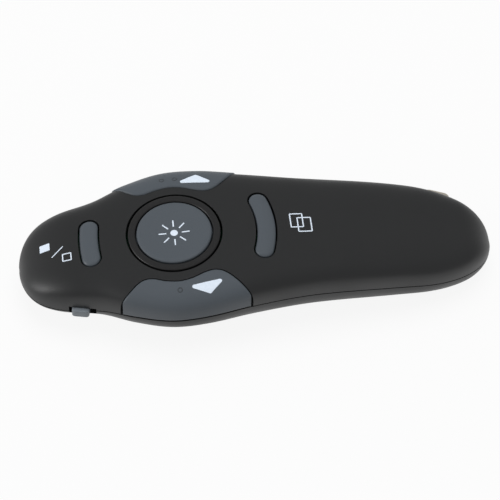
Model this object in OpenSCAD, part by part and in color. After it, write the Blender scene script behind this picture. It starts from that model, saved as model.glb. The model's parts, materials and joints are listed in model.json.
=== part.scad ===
// Hand-held wireless presentation clicker, lying on its flat rest lands.
// Millimetres. +X runs from the laser nose to the tail, +Y to the page-up side, +Z up.

/* [Body] */
// Length of the tail behind the battery bay
tail_room = 11.3; // [11:0.1:13]
// Half width at the nose, before the nose is rounded off
nose_half_width = 16.8; // [16.4:0.1:17.6]
// Half width at the belly, beside the round button
belly_half_width = 23.5; // [23:0.1:24.5]
// Half width at the waist, where the palm closes
waist_half_width = 18.6; // [18.4:0.1:19.5]
// Half width of the tail, before the tail is rounded off
tail_half_width = 16; // [15.8:0.1:16.8]
// Height of the seam between the shells at the belly
belly_seam_height = 13.6; // [13.4:0.1:14.2]
// Height of the seam at the tail tip
tail_seam_height = 6.4; // [6.2:0.1:7]
// Height of the top shell above the seam at the belly
top_crown = 8; // [7.9:0.1:8.6]
// Height of the underside's arch over the table
belly_arch = 1.4; // [1.2:0.1:1.6]
// Squareness of the top shell's section, 2 is an ellipse
top_squareness = 3.9; // [3.6:0.1:4.2]
// Squareness of the bottom shell's section from the belly back
bottom_squareness = 2.3; // [2.2:0.1:2.5]
// Squareness of the bottom shell's section at the nose, where it falls in under the seam
nose_squareness = 1.6; // [1.5:0.05:1.8]
// Thickness of both shells
wall = 1.6; // [1.4:0.1:1.8]

/* [Laser button] */
// Distance of the button's centre from the nose tip
ring_from_nose = 42.3; // [41.8:0.1:42.8]
// Radius of the round button
laser_button_radius = 10.2; // [9.8:0.1:10.4]
// Radius of the black bezel round the button
bezel_radius = 12.55; // [12.3:0.05:12.7]
// Gap round the bezel
bezel_gap = 0.55; // [0.4:0.05:0.65]
// Depth of the dish in the button's top
dish_depth = 0.6; // [0.3:0.1:0.9]
// Thickness of the round button at its edge
laser_button_thickness = 1.9; // [1.7:0.1:2.1]

/* [Buttons] */
// Gap round the laser button and the page buttons
button_gap = 0.3; // [0.25:0.05:0.35]
// Gap round the two bar buttons
bar_gap = 0.4; // [0.3:0.05:0.45]
// Height of each button over the shell
button_proud = 0.3; // [0.2:0.05:0.5]
// Travel of each button
button_travel = 0.4; // [0.3:0.05:0.45]
// Wall of the page buttons
page_button_wall = 1.5; // [1.3:0.1:1.6]
// Radius of the page buttons' inner edge about the round button
page_edge_radius = 16.4; // [16.1:0.1:16.8]
// Gap left between the page buttons and the bottom shell
page_foot_gap = 0.75; // [0.7:0.05:0.9]
// Width of the two bar buttons
bar_width = 5; // [4.8:0.1:5.2]
// Thickness of the two bar buttons
bar_thickness = 2; // [1.8:0.1:2.1]
// Length of the blank-screen bar, across the nose
blank_bar_length = 15.1; // [14:0.1:15.6]
// Distance of the blank-screen bar from the round button's centre
blank_bar_radius = 23.05; // [22.8:0.05:23.3]
// Radius that the blank-screen bar is bent to
blank_bar_bend = 42; // [30:1:50]
// Length of the window bar, across the waist
window_bar_length = 21.6; // [20:0.1:22]
// Distance of the window bar from the round button's centre
window_bar_radius = 24.95; // [24.7:0.05:25.2]
// Radius that the window bar is bent to
window_bar_bend = 26.5; // [24:0.5:30]

/* [Power slider] */
// Distance of the slot's middle from the nose tip
slot_from_nose = 16.3; // [16:0.1:16.8]
// Length of the slot
slot_length = 7.4; // [7.2:0.1:7.8]
// Height of the slot
slot_height = 3; // [2.6:0.1:3.2]
// Length of the slider's knob
knob_length = 4.7; // [4.4:0.1:5]
// Height of the knob over the shell
knob_proud = 1.2; // [0.9:0.1:1.3]
// Travel of the slider between off and on
slider_travel = 1.8; // [1.5:0.1:2]

/* [Laser] */
// Height of the beam over the table
beam_height = 7.6; // [7.4:0.1:8]
// Radius of the diode barrel
barrel_radius = 2.7; // [2.5:0.1:2.8]
// Length of the diode barrel
barrel_length = 11; // [9:0.5:12]
// Outer radius of the nose bush
bush_radius = 1.8; // [1.7:0.05:1.85]
// Radius of the beam's opening
aperture_radius = 1.2; // [1:0.1:1.3]

/* [Circuit board] */
// Height of the board's underside
board_height = 13.2; // [13.1:0.05:13.3]
// Thickness of the board
board_thickness = 1; // [0.8:0.1:1.2]
// Width of a tact switch
switch_width = 6; // [5.4:0.1:6.2]
// Radius of a tact switch's plunger
plunger_radius = 1.6; // [1.4:0.1:1.8]
// Length of each plunger that stands over its switch
plunger_length = 0.9; // [0.8:0.1:1]

/* [Batteries] */
// Radius of an AAA cell
cell_radius = 5.15; // [5.05:0.05:5.2]
// Length of an AAA cell without its nipple
cell_length = 43.7; // [43:0.1:43.9]
// Height of the cells' axes
cell_height = 8.6; // [8.55:0.05:8.65]
// Distance of the battery bay's front wall from the middle of the window bar
bay_behind_bar = 2.95; // [2.85:0.05:3.3]
// Room for a negative contact's spring
spring_room = 1.3; // [1.2:0.1:1.6]
// Room between a cell's nipple and the bay's wall
nipple_room = 0.7; // [0.6:0.1:1]
// Length of a cell's nipple
cell_nipple = 0.8; // [0.7:0.1:1]
// Thickness of the bay's walls and roof
bay_wall = 1; // [0.8:0.1:1.2]
// Height of the line where the cover meets the bottom shell
cover_line_height = 5.2; // [5:0.1:5.4]
// Gap round the battery cover
cover_gap = 0.25; // [0.2:0.05:0.3]

/* [Receiver] */
// Length of the receiver's plastic cap
receiver_cap_length = 6.6; // [6:0.1:7]
// Width of the receiver's cap
receiver_width = 14.6; // [14:0.1:15]
// Height of the receiver's cap
receiver_height = 6.4; // [6:0.1:6.6]
// Gap between the receiver and its bay
receiver_gap = 0.25; // [0.2:0.05:0.3]
// Distance of the bay's nose end from the nose tip
receiver_from_nose = 33.5; // [33:0.1:34]

/* [Fasteners] */
// Radius of the screw's shank
screw_radius = 1; // [0.9:0.05:1.1]
// Radius of the screw's head
screw_head_radius = 1.8; // [1.7:0.05:1.9]
// Height of the screw's head
screw_head_height = 1.3; // [1.1:0.1:1.4]
// Depth of the drive recess
drive_depth = 0.8; // [0.6:0.1:0.9]

/* [Strap eyelet] */
// Radius of the eyelet's wire
eyelet_wire_radius = 0.75; // [0.6:0.05:0.8]
// Distance of the eyelet's bar from the shell
eyelet_stand = 2.8; // [2.2:0.1:3.2]
// Length of the eyelet's bar
eyelet_length = 8; // [7:0.1:8.4]
// Distance of the eyelet's middle from the tail tip
eyelet_from_tail = 12.2; // [11.8:0.1:14]

/* [Hidden] */

// Finish of the long faceted skins: sections along the body and points across a half section
body_sections = 40;
section_points = 24;
// Thickness that hides a join inside a wall
bite = 0.4;
// How far a cutter runs past the face it opens
past = 1;

// The battery bay sets how long the body is
bay_from_nose = ring_from_nose + window_bar_radius + bay_behind_bar;
bay_inner_length = spring_room + cell_length + cell_nipple + nipple_room;
bay_end = bay_from_nose + bay_wall + bay_inner_length;
body_length = bay_end + bay_wall + tail_room;

// Piecewise cubic through (station, value) pairs, with slopes taken from the neighbours
function slope_at(c, i) =
    let (a = max(i - 1, 0), b = min(i + 1, len(c) - 1))
    (c[b][1] - c[a][1]) / (c[b][0] - c[a][0]);
function span_of(c, x, i = 0) = (i >= len(c) - 2 || x < c[i + 1][0]) ? i : span_of(c, x, i + 1);
function curve(c, x0) =
    let (
        x = min(max(x0, c[0][0]), c[len(c) - 1][0]),
        i = span_of(c, x),
        h = c[i + 1][0] - c[i][0],
        t = (x - c[i][0]) / h
    )
    (2 * pow(t, 3) - 3 * pow(t, 2) + 1) * c[i][1]
    + (pow(t, 3) - 2 * pow(t, 2) + t) * h * slope_at(c, i)
    + (-2 * pow(t, 3) + 3 * pow(t, 2)) * c[i + 1][1]
    + (pow(t, 3) - pow(t, 2)) * h * slope_at(c, i + 1);
// Quarter of a superellipse that closes an end of the body, from 0 at the tip to 1 at its reach
function end_round(from_tip, reach, squareness) =
    pow(1 - pow(min(max(1 - from_tip / reach, 0), 1), squareness), 1 / squareness);

// Plan, seam, crown and underside of the body along its length, with x counted from the nose tip
tail_shoulder = bay_end - 17.7;
tail_land = bay_end - 5.7;
nose_reach = 22;
tail_reach = 23;
nose_height_reach = 16;
tail_height_reach = 8;
plan_curve = [
    [0, nose_half_width + 3.2], [10, nose_half_width + 0.2], [20, nose_half_width - 0.2],
    [30, belly_half_width - 2.8], [40, belly_half_width], [50, belly_half_width - 0.2],
    [62, waist_half_width + 2.5], [78, waist_half_width], [tail_shoulder, tail_half_width + 0.8],
    [body_length, tail_half_width - 2]
];
seam_curve = [
    [0, belly_seam_height - 5.6], [15, belly_seam_height - 4.3], [30, belly_seam_height - 1.8],
    [65, belly_seam_height], [tail_shoulder, belly_seam_height - 2.4], [body_length, tail_seam_height]
];
crown_curve = [
    [0, top_crown - 0.6], [15, top_crown + 0.65], [30, top_crown + 0.15], [43, top_crown],
    [70, top_crown], [tail_shoulder, top_crown - 0.4], [body_length, top_crown - 2]
];
under_curve = [
    [0, 0], [16, -0.15], [45, belly_arch - 0.2], [75, belly_arch], [tail_land, -0.15],
    [body_length, -0.15]
];
bottom_square_curve = [
    [0, nose_squareness], [16, nose_squareness], [32, bottom_squareness - 0.2], [48, bottom_squareness],
    [body_length, bottom_squareness]
];
function squareness(x, up) = up > 0 ? top_squareness : curve(bottom_square_curve, x);
function half_width(x) =
    curve(plan_curve, x) * end_round(x, nose_reach, 2) * end_round(body_length - x, tail_reach, 2.2);
function height_round(x) =
    end_round(x, nose_height_reach, 2) * end_round(body_length - x, tail_height_reach, 2);
function seam_z(x) = curve(seam_curve, x);
function crown(x) = curve(crown_curve, x) * height_round(x);
function depth(x) = (seam_z(x) - curve(under_curve, x)) * height_round(x);
// Height of the top shell's outside at a place
function top_z(x, y) =
    seam_z(x) + crown(x)
    * pow(1 - pow(min(abs(y) / half_width(x), 0.999), top_squareness), 1 / top_squareness);
// Height of the bottom shell's outside at a place
function under_z(x, y) =
    max(seam_z(x) - depth(x)
    * pow(1 - pow(min(abs(y) / half_width(x), 0.999), squareness(x, -1)), 1 / squareness(x, -1)), 0);

// One point of a half section: angle 0 is the page-up side's seam, 180 the page-down side's
function signed_pow(v, e) = sign(v) * pow(abs(v), e);
function section_point(x, angle, inset, up) =
    let (e = 2 / squareness(x, up))
    [
        x,
        (half_width(x) - inset) * signed_pow(cos(angle), e),
        max(seam_z(x) + up * ((up > 0 ? crown(x) : depth(x)) - inset) * pow(abs(sin(angle)), e),
            up > 0 ? 0 : inset)
    ];
// Angle at which the half section stands a given height from the seam
function angle_at_height(x, inset, up, height) =
    asin(pow(min(height / ((up > 0 ? crown(x) : depth(x)) - inset), 1), squareness(x, up) / 2));
// Angle at which the half section reaches a given distance from the middle
function angle_at_width(x, inset, up, y) =
    acos(pow(min(y / (half_width(x) - inset), 1), squareness(x, up) / 2));
function half_section(x, inset, up, from_angle = 0) =
    [for (k = [0:section_points])
        section_point(x, from_angle + (180 - 2 * from_angle) * k / section_points, inset, up)];
// Stations crowd at both tips, where the body rounds off
function station(k, count, start, end) = start + (end - start) * (1 - cos(180 * k / count)) / 2;

// Triangles between two rows of point numbers
function strip(a, b) =
    [for (k = [0:len(a) - 2]) each [[a[k], b[k], b[k + 1]], [a[k], b[k + 1], a[k + 1]]]];
// Triangles that fill a flat closed row by pairing its two ends
function ladder(r) =
    [for (k = [0:ceil(len(r) / 2) - 2])
        let (j = len(r) - 1 - k)
        each (k + 1 < j - 1
            ? [[r[k], r[k + 1], r[j]], [r[k + 1], r[j - 1], r[j]]]
            : [[r[k], r[k + 1], r[j]]])];
function row(start, count) = [for (k = [0:count - 1]) start + k];
function reversed(l) = [for (k = [len(l) - 1:-1:0]) l[k]];
function flipped(faces) = [for (f = faces) [f[0], f[2], f[1]]];

// Solid through closed rings of equal length, filled at both ends. The rings turn anticlockwise as
// seen from where they lead to.
module skin(rings) {
    n = len(rings[0]);
    last = len(rings) - 1;
    points = [for (r = rings) each r];
    sides = [for (k = [0:last - 1])
        each strip(concat(row(k * n, n), [k * n]), concat(row((k + 1) * n, n), [(k + 1) * n]))];
    polyhedron(points, concat(sides, ladder(row(0, n)), flipped(ladder(row(last * n, n)))));
}

// Shell between an outer and an inner set of open arcs. A closed end is filled across each arc,
// an open one joins the two arcs through the wall.
module bowl(outer, inner, front_closed, back_closed, turned) {
    n = len(outer[0]);
    rows = len(outer);
    points = concat([for (r = outer) each r], [for (r = inner) each r]);
    base = rows * n;
    out_row = [for (k = [0:rows - 1]) row(k * n, n)];
    in_row = [for (k = [0:rows - 1]) row(base + k * n, n)];
    skins = [for (k = [0:rows - 2])
        each concat(strip(out_row[k], out_row[k + 1]), strip(in_row[k + 1], in_row[k]))];
    rim_a = strip([for (k = [0:rows - 1]) out_row[k][0]], [for (k = [0:rows - 1]) in_row[k][0]]);
    rim_b = strip([for (k = [0:rows - 1]) in_row[k][n - 1]], [for (k = [0:rows - 1]) out_row[k][n - 1]]);
    o0 = out_row[0];
    i0 = in_row[0];
    o1 = out_row[rows - 1];
    i1 = in_row[rows - 1];
    front = front_closed
        ? concat(ladder(o0), flipped(ladder(i0)),
            [[o0[0], o0[n - 1], i0[n - 1]], [o0[0], i0[n - 1], i0[0]]])
        : strip(i0, o0);
    back = back_closed
        ? concat(flipped(ladder(o1)), ladder(i1),
            [[o1[0], i1[n - 1], o1[n - 1]], [o1[0], i1[0], i1[n - 1]]])
        : strip(o1, i1);
    all_faces = concat(skins, rim_a, rim_b, front, back);
    polyhedron(points, turned ? flipped(all_faces) : all_faces);
}

// Room inside a shell, some way into its wall, that what is moulded onto the shell is trimmed to.
// It runs on past the seam.
module shell_room(up) {
    skin([for (k = [0:body_sections / 2])
        let (
            x = station(k, body_sections / 2, wall, body_length - wall),
            arc = half_section(x, bite, up),
            side = half_width(x) - bite,
            beyond = seam_z(x) - up * 9,
            ring = concat(arc, [[x, -side, beyond], [x, side, beyond]])
        )
        up > 0 ? ring : reversed(ring)]);
}

// Everything is drawn from the nose tip, and the origin is under the middle of the body
module from_nose() {
    translate([-body_length / 2, 0, 0]) children();
}

// Colours of the finishes
black_plastic = [0.13, 0.13, 0.14];
bezel_black = [0.09, 0.09, 0.1];
button_grey = [0.34, 0.37, 0.39];
slider_grey = [0.45, 0.47, 0.49];
board_green = [0.05, 0.3, 0.18];
brass_yellow = [0.72, 0.58, 0.28];
steel_grey = [0.7, 0.71, 0.72];

/* ---- Places that several pieces share ---- */

tip = 0.03;
board_top = board_height + board_thickness;
// Slope of the top along the round button
ring_tilt = atan((top_z(ring_from_nose + 8, 0) - top_z(ring_from_nose - 8, 0)) / 16);
ring_z = top_z(ring_from_nose, 0);
bezel_proud = 0.1;
bezel_thickness = wall + 0.3;
page_up = 1;
page_down = -1;
// Flat face that the board and its switches are built on
laser_switch_top = ring_z - laser_button_thickness - 0.7;
page_switch_offset = belly_half_width - 5.5;
page_switch_from_nose = ring_from_nose + 0.7;
blank_bar_from_nose = ring_from_nose - blank_bar_radius;
window_bar_from_nose = ring_from_nose + window_bar_radius;
blank_switch_top = top_z(blank_bar_from_nose, 0) - bar_thickness - 0.35;
window_switch_top = top_z(window_bar_from_nose, 0) - bar_thickness - 0.7;
page_switch_top = top_z(page_switch_from_nose, page_switch_offset + plunger_radius) - page_button_wall - 0.45;

module at_ring() {
    translate([ring_from_nose, 0, ring_z]) rotate([0, -ring_tilt, 0]) children();
}

/* ---- Outlines of the openings in the top shell ---- */

// Page buttons' inner edge: places about the round button's centre, and distances from the middle
// over the edge's own radius. It goes round the bezel and flares out with soft corners.
page_edge_curve = [
    [-16.7, 3.6], [-15.1, 2.5], [-13.1, 1.1], [-11.3, -0.5], [-9.3, -1.65], [-6.9, -1.75], [-3.7, -0.7],
    [0, -0.15], [3.5, -0.7], [6.9, -2.05], [9.3, -2.6], [11.3, -2.3], [13.1, -1.2], [15.1, 0.7],
    [17.3, 3.1], [19.1, 5.1], [20.3, 6.6]
];
function page_edge(x, gap) =
    let (
        dx = x - ring_from_nose,
        slope = (curve(page_edge_curve, dx + 0.1) - curve(page_edge_curve, dx - 0.1)) / 0.2
    )
    page_edge_radius + curve(page_edge_curve, dx) - gap * sqrt(1 + pow(slope, 2));
page_start = ring_from_nose - 15.9;
page_end = ring_from_nose + 19.5;
// The buttons run between the places where their inner edge comes near the outline
page_tip = 0.25;
function page_reach(x) = half_width(x) - page_edge(x, 0) - page_tip;
function page_limit(low, high, step = 0) =
    step > 24 ? high :
    let (mid = (low + high) / 2)
    page_reach(mid) > 0 ? page_limit(low, mid, step + 1) : page_limit(mid, high, step + 1);
page_first = page_limit(page_start - 1, ring_from_nose);
page_last = page_limit(page_end + 2, ring_from_nose);

// Bent stadium: a run on an arc that curves about the round button's side, then its round ends
function bar_angle(length, bend) = asin((length / 2 - bar_width / 2) / bend);
bar_end_points = 8;
bar_run_points = 8;
function bar_outline(radius, bend, length, grow, toward_tail) =
    let (
        a = bar_angle(length, bend),
        b = bar_width / 2 + grow,
        side = toward_tail ? 1 : -1,
        polar = concat(
            [for (k = [0:bar_run_points]) [-a + 2 * a * k / bar_run_points, b, 0]],
            [for (k = [1:bar_end_points - 1]) [a, b * cos(180 * k / bar_end_points),
                b * sin(180 * k / bar_end_points)]],
            [for (k = [0:bar_run_points]) [a - 2 * a * k / bar_run_points, -b, 0]],
            [for (k = [1:bar_end_points - 1]) [-a, -b * cos(180 * k / bar_end_points),
                -b * sin(180 * k / bar_end_points)]])
    )
    [for (p = polar)
        let (c = cos(p[0]), s = sin(p[0]))
        [ring_from_nose + side * (radius - bend + (bend + p[1]) * c - p[2] * s), (bend + p[1]) * s + p[2] * c]];

module bar_opening(radius, bend, length, toward_tail) {
    translate([0, 0, board_top + past])
        linear_extrude(20) polygon(bar_outline(radius, bend, length, bar_gap, toward_tail));
}

module page_opening(side) {
    count = 24;
    reach = belly_half_width + 5;
    edge = [for (k = [0:count])
        let (x = page_start - button_gap + (page_end - page_start + 2 * button_gap) * k / count)
        [x, side * page_edge(x, button_gap)]];
    translate([0, 0, seam_z(page_start) - past])
        linear_extrude(20)
        polygon(concat(edge, [[page_end + button_gap, side * reach], [page_start - button_gap, side * reach]]));
}

/* ---- Power slider's place on the page-down side ---- */

slot_slope = atan((half_width(slot_from_nose + 3) - half_width(slot_from_nose - 3)) / 6);
slot_z = seam_z(slot_from_nose);
knob_gap = 0.25;
// +X runs along the slot towards the tail, -Y points out of the body
module at_slot() {
    translate([slot_from_nose, -half_width(slot_from_nose), slot_z]) rotate([0, 0, -slot_slope]) children();
}
module slot_cut() {
    at_slot() translate([-slot_length / 2, -3, -slot_height / 2]) cube([slot_length, 3 + wall + 1, slot_height]);
}

/* ---- Laser in the nose ---- */

bush_length = 6.6;
bush_from_nose = 1.3;
barrel_from_nose = bush_from_nose + bush_length + 0.1;
module beam_cylinder(radius, start, length) {
    translate([start, 0, beam_height]) rotate([0, 90, 0]) cylinder(r = radius, h = length, $fn = 48);
}
module nose_hole() {
    beam_cylinder(aperture_radius, -past, bush_from_nose + 2 * past);
    beam_cylinder(bush_radius + 0.05, bush_from_nose, bush_length + 2);
}

/* ---- Screws: nose pair and belly pair ---- */

screw_places = [[25.4, 12.4], [25.4, -12.4], [60.2, 14.4], [60.2, -14.4]];
screw_seat_z = 6.2;
boss_radius = 2.6;
screw_clear = 0.15;
screw_tip_below_top = 2.4;
function screw_end_z(p) = top_z(p[0], p[1]) - wall - screw_tip_below_top + bite;

/* ---- Strap eyelet's legs, whose holes are split by the seam ---- */

eyelet_from_nose = body_length - eyelet_from_tail;
eyelet_slope = atan((half_width(eyelet_from_nose + 3) - half_width(eyelet_from_nose - 3)) / 6);
eyelet_leg_radius = eyelet_wire_radius - 0.1;
eyelet_leg_place = eyelet_length / 2 - eyelet_wire_radius;
eyelet_leg_length = eyelet_stand + wall - 0.3;
module at_eyelet() {
    translate([eyelet_from_nose, half_width(eyelet_from_nose) + eyelet_stand, seam_z(eyelet_from_nose)])
        rotate([0, 0, eyelet_slope]) children();
}
module eyelet_legs(grow) {
    for (x = [-eyelet_leg_place, eyelet_leg_place])
        translate([x, -eyelet_leg_length - grow, 0]) rotate([-90, 0, 0])
            cylinder(r = eyelet_leg_radius + grow, h = eyelet_leg_length + grow, $fn = 32);
}

/* ---- Battery bay ---- */

cell_offset = cell_radius + 0.35;
cell_front = bay_from_nose + bay_wall + spring_room;
bay_inner_half_width = cell_offset + cell_radius + 0.35;
bay_roof_z = cell_height + cell_radius + 0.3;
bay_roof_length = 26;

/* ---- Receiver bay ---- */

plug_length = 12;
plug_width = 12;
plug_height = 4.5;
receiver_total = receiver_cap_length + plug_length;
receiver_z = belly_arch + 0.9;
receiver_bay_wall = 1;
receiver_cap_start = receiver_from_nose + receiver_bay_wall + receiver_gap;
module receiver_box(grow, height) {
    translate([receiver_cap_start - grow, -receiver_width / 2 - grow, 0])
        cube([receiver_total + 2 * grow, receiver_width + 2 * grow, height]);
}
receiver_roof_z = receiver_z + receiver_height + 0.3;

/* ---- Pieces ---- */

module half_shell(up) {
    outer = [for (k = [0:body_sections])
        half_section(station(k, body_sections, tip, body_length - tip), 0, up)];
    inner = [for (k = [0:body_sections])
        half_section(station(k, body_sections, wall, body_length - wall), wall, up)];
    bowl(outer, inner, true, true, up < 0);
}

module top_boss(p) {
    translate([p[0], p[1], board_top]) cylinder(r = boss_radius, h = top_crown, $fn = 32);
}
module top_boss_bore(p) {
    translate([p[0], p[1], board_top - past])
        cylinder(r = screw_radius + 0.04, h = screw_end_z(p) + 0.2 - board_top + past, $fn = 32);
}

module top_shell() {
    color(black_plastic) from_nose() {
        difference() {
            half_shell(1);
            at_ring() translate([0, 0, -wall - 3]) cylinder(r = bezel_radius + bezel_gap, h = 10, $fn = 96);
            bar_opening(blank_bar_radius, blank_bar_bend, blank_bar_length, false);
            bar_opening(window_bar_radius, window_bar_bend, window_bar_length, true);
            page_opening(page_up);
            page_opening(page_down);
            slot_cut();
            nose_hole();
            at_eyelet() eyelet_legs(0.03);
        }
        difference() {
            intersection() {
                union() for (p = screw_places) top_boss(p);
                shell_room(1);
            }
            for (p = screw_places) top_boss_bore(p);
        }
    }
}

module bottom_boss(p) {
    translate([p[0], p[1], 0]) cylinder(r = boss_radius + 0.4, h = board_height, $fn = 32);
}

module screw_cut(p) {
    translate([p[0], p[1], -past])
        cylinder(r = screw_head_radius + screw_clear, h = screw_seat_z + past, $fn = 32);
    translate([p[0], p[1], 0]) cylinder(r = screw_radius + screw_clear, h = board_height + past, $fn = 32);
}

// Rib across the nose with a round seat for the barrel
module barrel_rib(x) {
    translate([x, -4, 0]) cube([1.4, 8, beam_height]);
}

module bottom_shell() {
    color(black_plastic) from_nose() difference() {
        union() {
            half_shell(-1);
            intersection() {
                union() {
                    for (p = screw_places) bottom_boss(p);
                    barrel_rib(barrel_from_nose + 1.4);
                    barrel_rib(barrel_from_nose + barrel_length - 2.8);
                    // Walls and roof of the receiver's bay
                    receiver_box(receiver_gap + receiver_bay_wall, receiver_roof_z + receiver_bay_wall);
                    battery_bay();
                }
                shell_room(-1);
            }
        }
        for (p = screw_places) screw_cut(p);
        beam_cylinder(barrel_radius + 0.05, barrel_from_nose, barrel_length);
        nose_hole();
        slot_cut();
        at_eyelet() eyelet_legs(0.03);
        receiver_cut();
        cover_cut();
    }
}

module receiver_cut() {
    translate([0, 0, -past]) receiver_box(receiver_gap, receiver_roof_z + past);
    // Finger notch beside the receiver's cap
    translate([receiver_cap_start + 3, 0, -past]) cylinder(r = 4.2, h = belly_arch + wall, $fn = 48);
}

// Front and back walls that run to the shell's sides, side walls and a short roof for the two cells
module battery_bay() {
    span = 2 * bay_inner_half_width;
    low = cover_line_height;
    bay_length = bay_end + bay_wall - bay_from_nose;
    for (x = [bay_from_nose, bay_end]) {
        rim = seam_z(x + bay_wall) - 0.1;
        corner = top_z(x + bay_wall, bay_inner_half_width + bay_wall + wall) - wall - 0.3;
        high = max(rim, min(bay_roof_z, corner));
        translate([x, -belly_half_width, low]) cube([bay_wall, 2 * belly_half_width, rim - low]);
        translate([x, -span / 2 - bay_wall, low]) cube([bay_wall, span + 2 * bay_wall, high - low]);
    }
    for (y = [-span / 2 - bay_wall, span / 2])
        translate([bay_from_nose, y, low]) cube([bay_length, bay_wall, seam_z(bay_end) - low]);
    translate([bay_from_nose, -span / 2, bay_roof_z - 0.01])
        cube([bay_roof_length, span, bay_wall]);
    for (y = [-span / 2 - bay_wall, span / 2])
        translate([bay_from_nose, y, low]) cube([bay_roof_length, bay_wall, bay_roof_z + bay_wall - 0.01 - low]);
}

// The cover takes all of the bottom shell behind this line and below the cover line
cover_from_nose = bay_from_nose - 1.4;
module cover_cut() {
    translate([cover_from_nose, -belly_half_width - past, -past])
        cube([body_length, 2 * (belly_half_width + past), cover_line_height + past]);
}

module battery_cover() {
    top = cover_line_height - cover_gap;
    front = cover_from_nose + cover_gap;
    // The section's middle drops below the cover line at these distances from the tail tip
    outer_end = cover_end(0, body_length - tip, top);
    inner_end = cover_end(wall, body_length - wall, top);
    outer = [for (k = [0:20])
        let (x = front + (outer_end - front) * sin(90 * k / 20))
        half_section(x, 0, -1, angle_at_height(x, 0, -1, seam_z(x) - top))];
    inner = [for (k = [0:20])
        let (x = front + (inner_end - front) * sin(90 * k / 20))
        half_section(x, wall, -1, angle_at_height(x, wall, -1, seam_z(x) - top))];
    color(black_plastic) from_nose() bowl(outer, inner, false, true, true);
}
// Last place towards the tail where the section's middle is still under a height, by halving
function cover_end(inset, high, top, low = 100, step = 0) =
    step > 24 ? low - 0.05 :
    let (mid = (low + high) / 2)
    (seam_z(mid) - depth(mid) + inset < top - 0.02)
        ? cover_end(inset, high, top, mid, step + 1)
        : cover_end(inset, mid, top, low, step + 1);

module button_bezel() {
    inner = laser_button_radius + button_gap;
    color(bezel_black) from_nose() at_ring() rotate_extrude($fn = 96) polygon([
        [inner, -bezel_thickness], [bezel_radius, -bezel_thickness], [bezel_radius, bezel_proud - 0.3],
        [bezel_radius - 0.35, bezel_proud], [inner + 0.4, bezel_proud], [inner, bezel_proud - 0.4]
    ]);
}

// Solid of revolution with a shallow dish, a flange under the bezel and a stem to its switch
module laser_button() {
    r = laser_button_radius;
    low = -laser_button_thickness;
    dish = [for (k = [0:6]) [r * 0.9 * k / 6, button_proud - dish_depth * (1 - pow(k / 6, 2))]];
    flange_top = -bezel_thickness - 0.15;
    flange_low = flange_top - 0.6;
    color(button_grey) from_nose() {
        at_ring() rotate_extrude($fn = 96) polygon(concat(dish, [
            [r - 0.35, button_proud - 0.05], [r - 0.05, button_proud - 0.45], [r, flange_top],
            [r + 1.1, flange_top], [r + 1.1, flange_low], [r - 1.2, flange_low], [r - 1.2, low], [0, low]
        ]));
        translate([ring_from_nose, 0, laser_switch_top])
            cylinder(r = plunger_radius + 0.4, h = ring_z - laser_button_thickness + 0.5 - laser_switch_top, $fn = 32);
    }
}

// Curved cap that follows the top shell over a page button's opening, with its stem
module page_button(side) {
    rows = 22;
    across = 12;
    rings = [for (k = [0:rows])
        let (
            x = page_first + (page_last - page_first) * (1 - cos(180 * k / rows)) / 2,
            edge = page_edge(x, 0),
            thick = min(page_button_wall, 0.75 * (half_width(x) + button_proud - edge) - button_proud),
            outer_low = angle_at_height(x, -button_proud, 1, page_foot_gap),
            outer_high = angle_at_width(x, -button_proud, 1, edge),
            inner_low = angle_at_height(x, thick, 1, page_foot_gap),
            inner_high = max(angle_at_width(x, thick, 1, edge + 0.05), inner_low + 0.5)
        )
        concat(
            [for (j = [0:across])
                let (a = outer_low + (outer_high - outer_low) * pow(j / across, 1.4))
                section_point(x, a, -button_proud, 1)],
            [for (j = [across:-1:0])
                let (a = inner_low + (inner_high - inner_low) * pow(j / across, 1.4))
                section_point(x, a, thick, 1)])];
    color(button_grey) from_nose() {
        if (side > 0) skin(rings);
        else mirror([0, 1, 0]) skin(rings);
        translate([page_switch_from_nose, side * page_switch_offset, page_switch_top])
            cylinder(r = plunger_radius, $fn = 32,
                h = top_z(page_switch_from_nose, page_switch_offset + plunger_radius) - page_button_wall
                    + bite - page_switch_top);
    }
}
module page_up_button() { page_button(page_up); }
module page_down_button() { page_button(page_down); }

// Bar cap with soft shoulders that follows the top shell, with its stem
module bar_button(radius, bend, length, toward_tail, switch_top) {
    x = ring_from_nose + (toward_tail ? radius : -radius);
    profile = [[0, -bar_thickness], [0, -0.45], [-0.25, 0], [-0.7, button_proud * 0.8],
        [-1.4, button_proud], [-bar_width / 2 + 0.35, button_proud + 0.1]];
    rings = [for (p = profile)
        [for (q = bar_outline(radius, bend, length, p[0], toward_tail)) [q[0], q[1], top_z(q[0], q[1]) + p[1]]]];
    color(button_grey) from_nose() {
        if (toward_tail) skin(rings);
        else skin([for (r = rings) reversed(r)]);
        translate([x, 0, switch_top])
            cylinder(r = plunger_radius, h = top_z(x, 0) - bar_thickness + bite - switch_top, $fn = 32);
    }
}
module blank_screen_button() {
    bar_button(blank_bar_radius, blank_bar_bend, blank_bar_length, false, blank_switch_top);
}
module window_button() {
    bar_button(window_bar_radius, window_bar_bend, window_bar_length, true, window_switch_top);
}

// Knob in the slot at its nose end, with a tongue that reaches the switch inside
module power_slider() {
    h = slot_height - 2 * knob_gap;
    x = -slot_length / 2 + knob_gap + 0.6;
    color(slider_grey) from_nose() at_slot() {
        translate([x, 0, -h / 2]) linear_extrude(h) polygon([
            [0, wall + 0.2], [0, -knob_proud + 0.5], [0.5, -knob_proud],
            [knob_length - 0.5, -knob_proud], [knob_length, -knob_proud + 0.5], [knob_length, wall + 0.2]
        ]);
        translate([x + knob_length / 2 - 0.8, wall + 0.2 - bite, -0.5]) cube([1.6, 1.2 + bite, 1]);
    }
}

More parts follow.
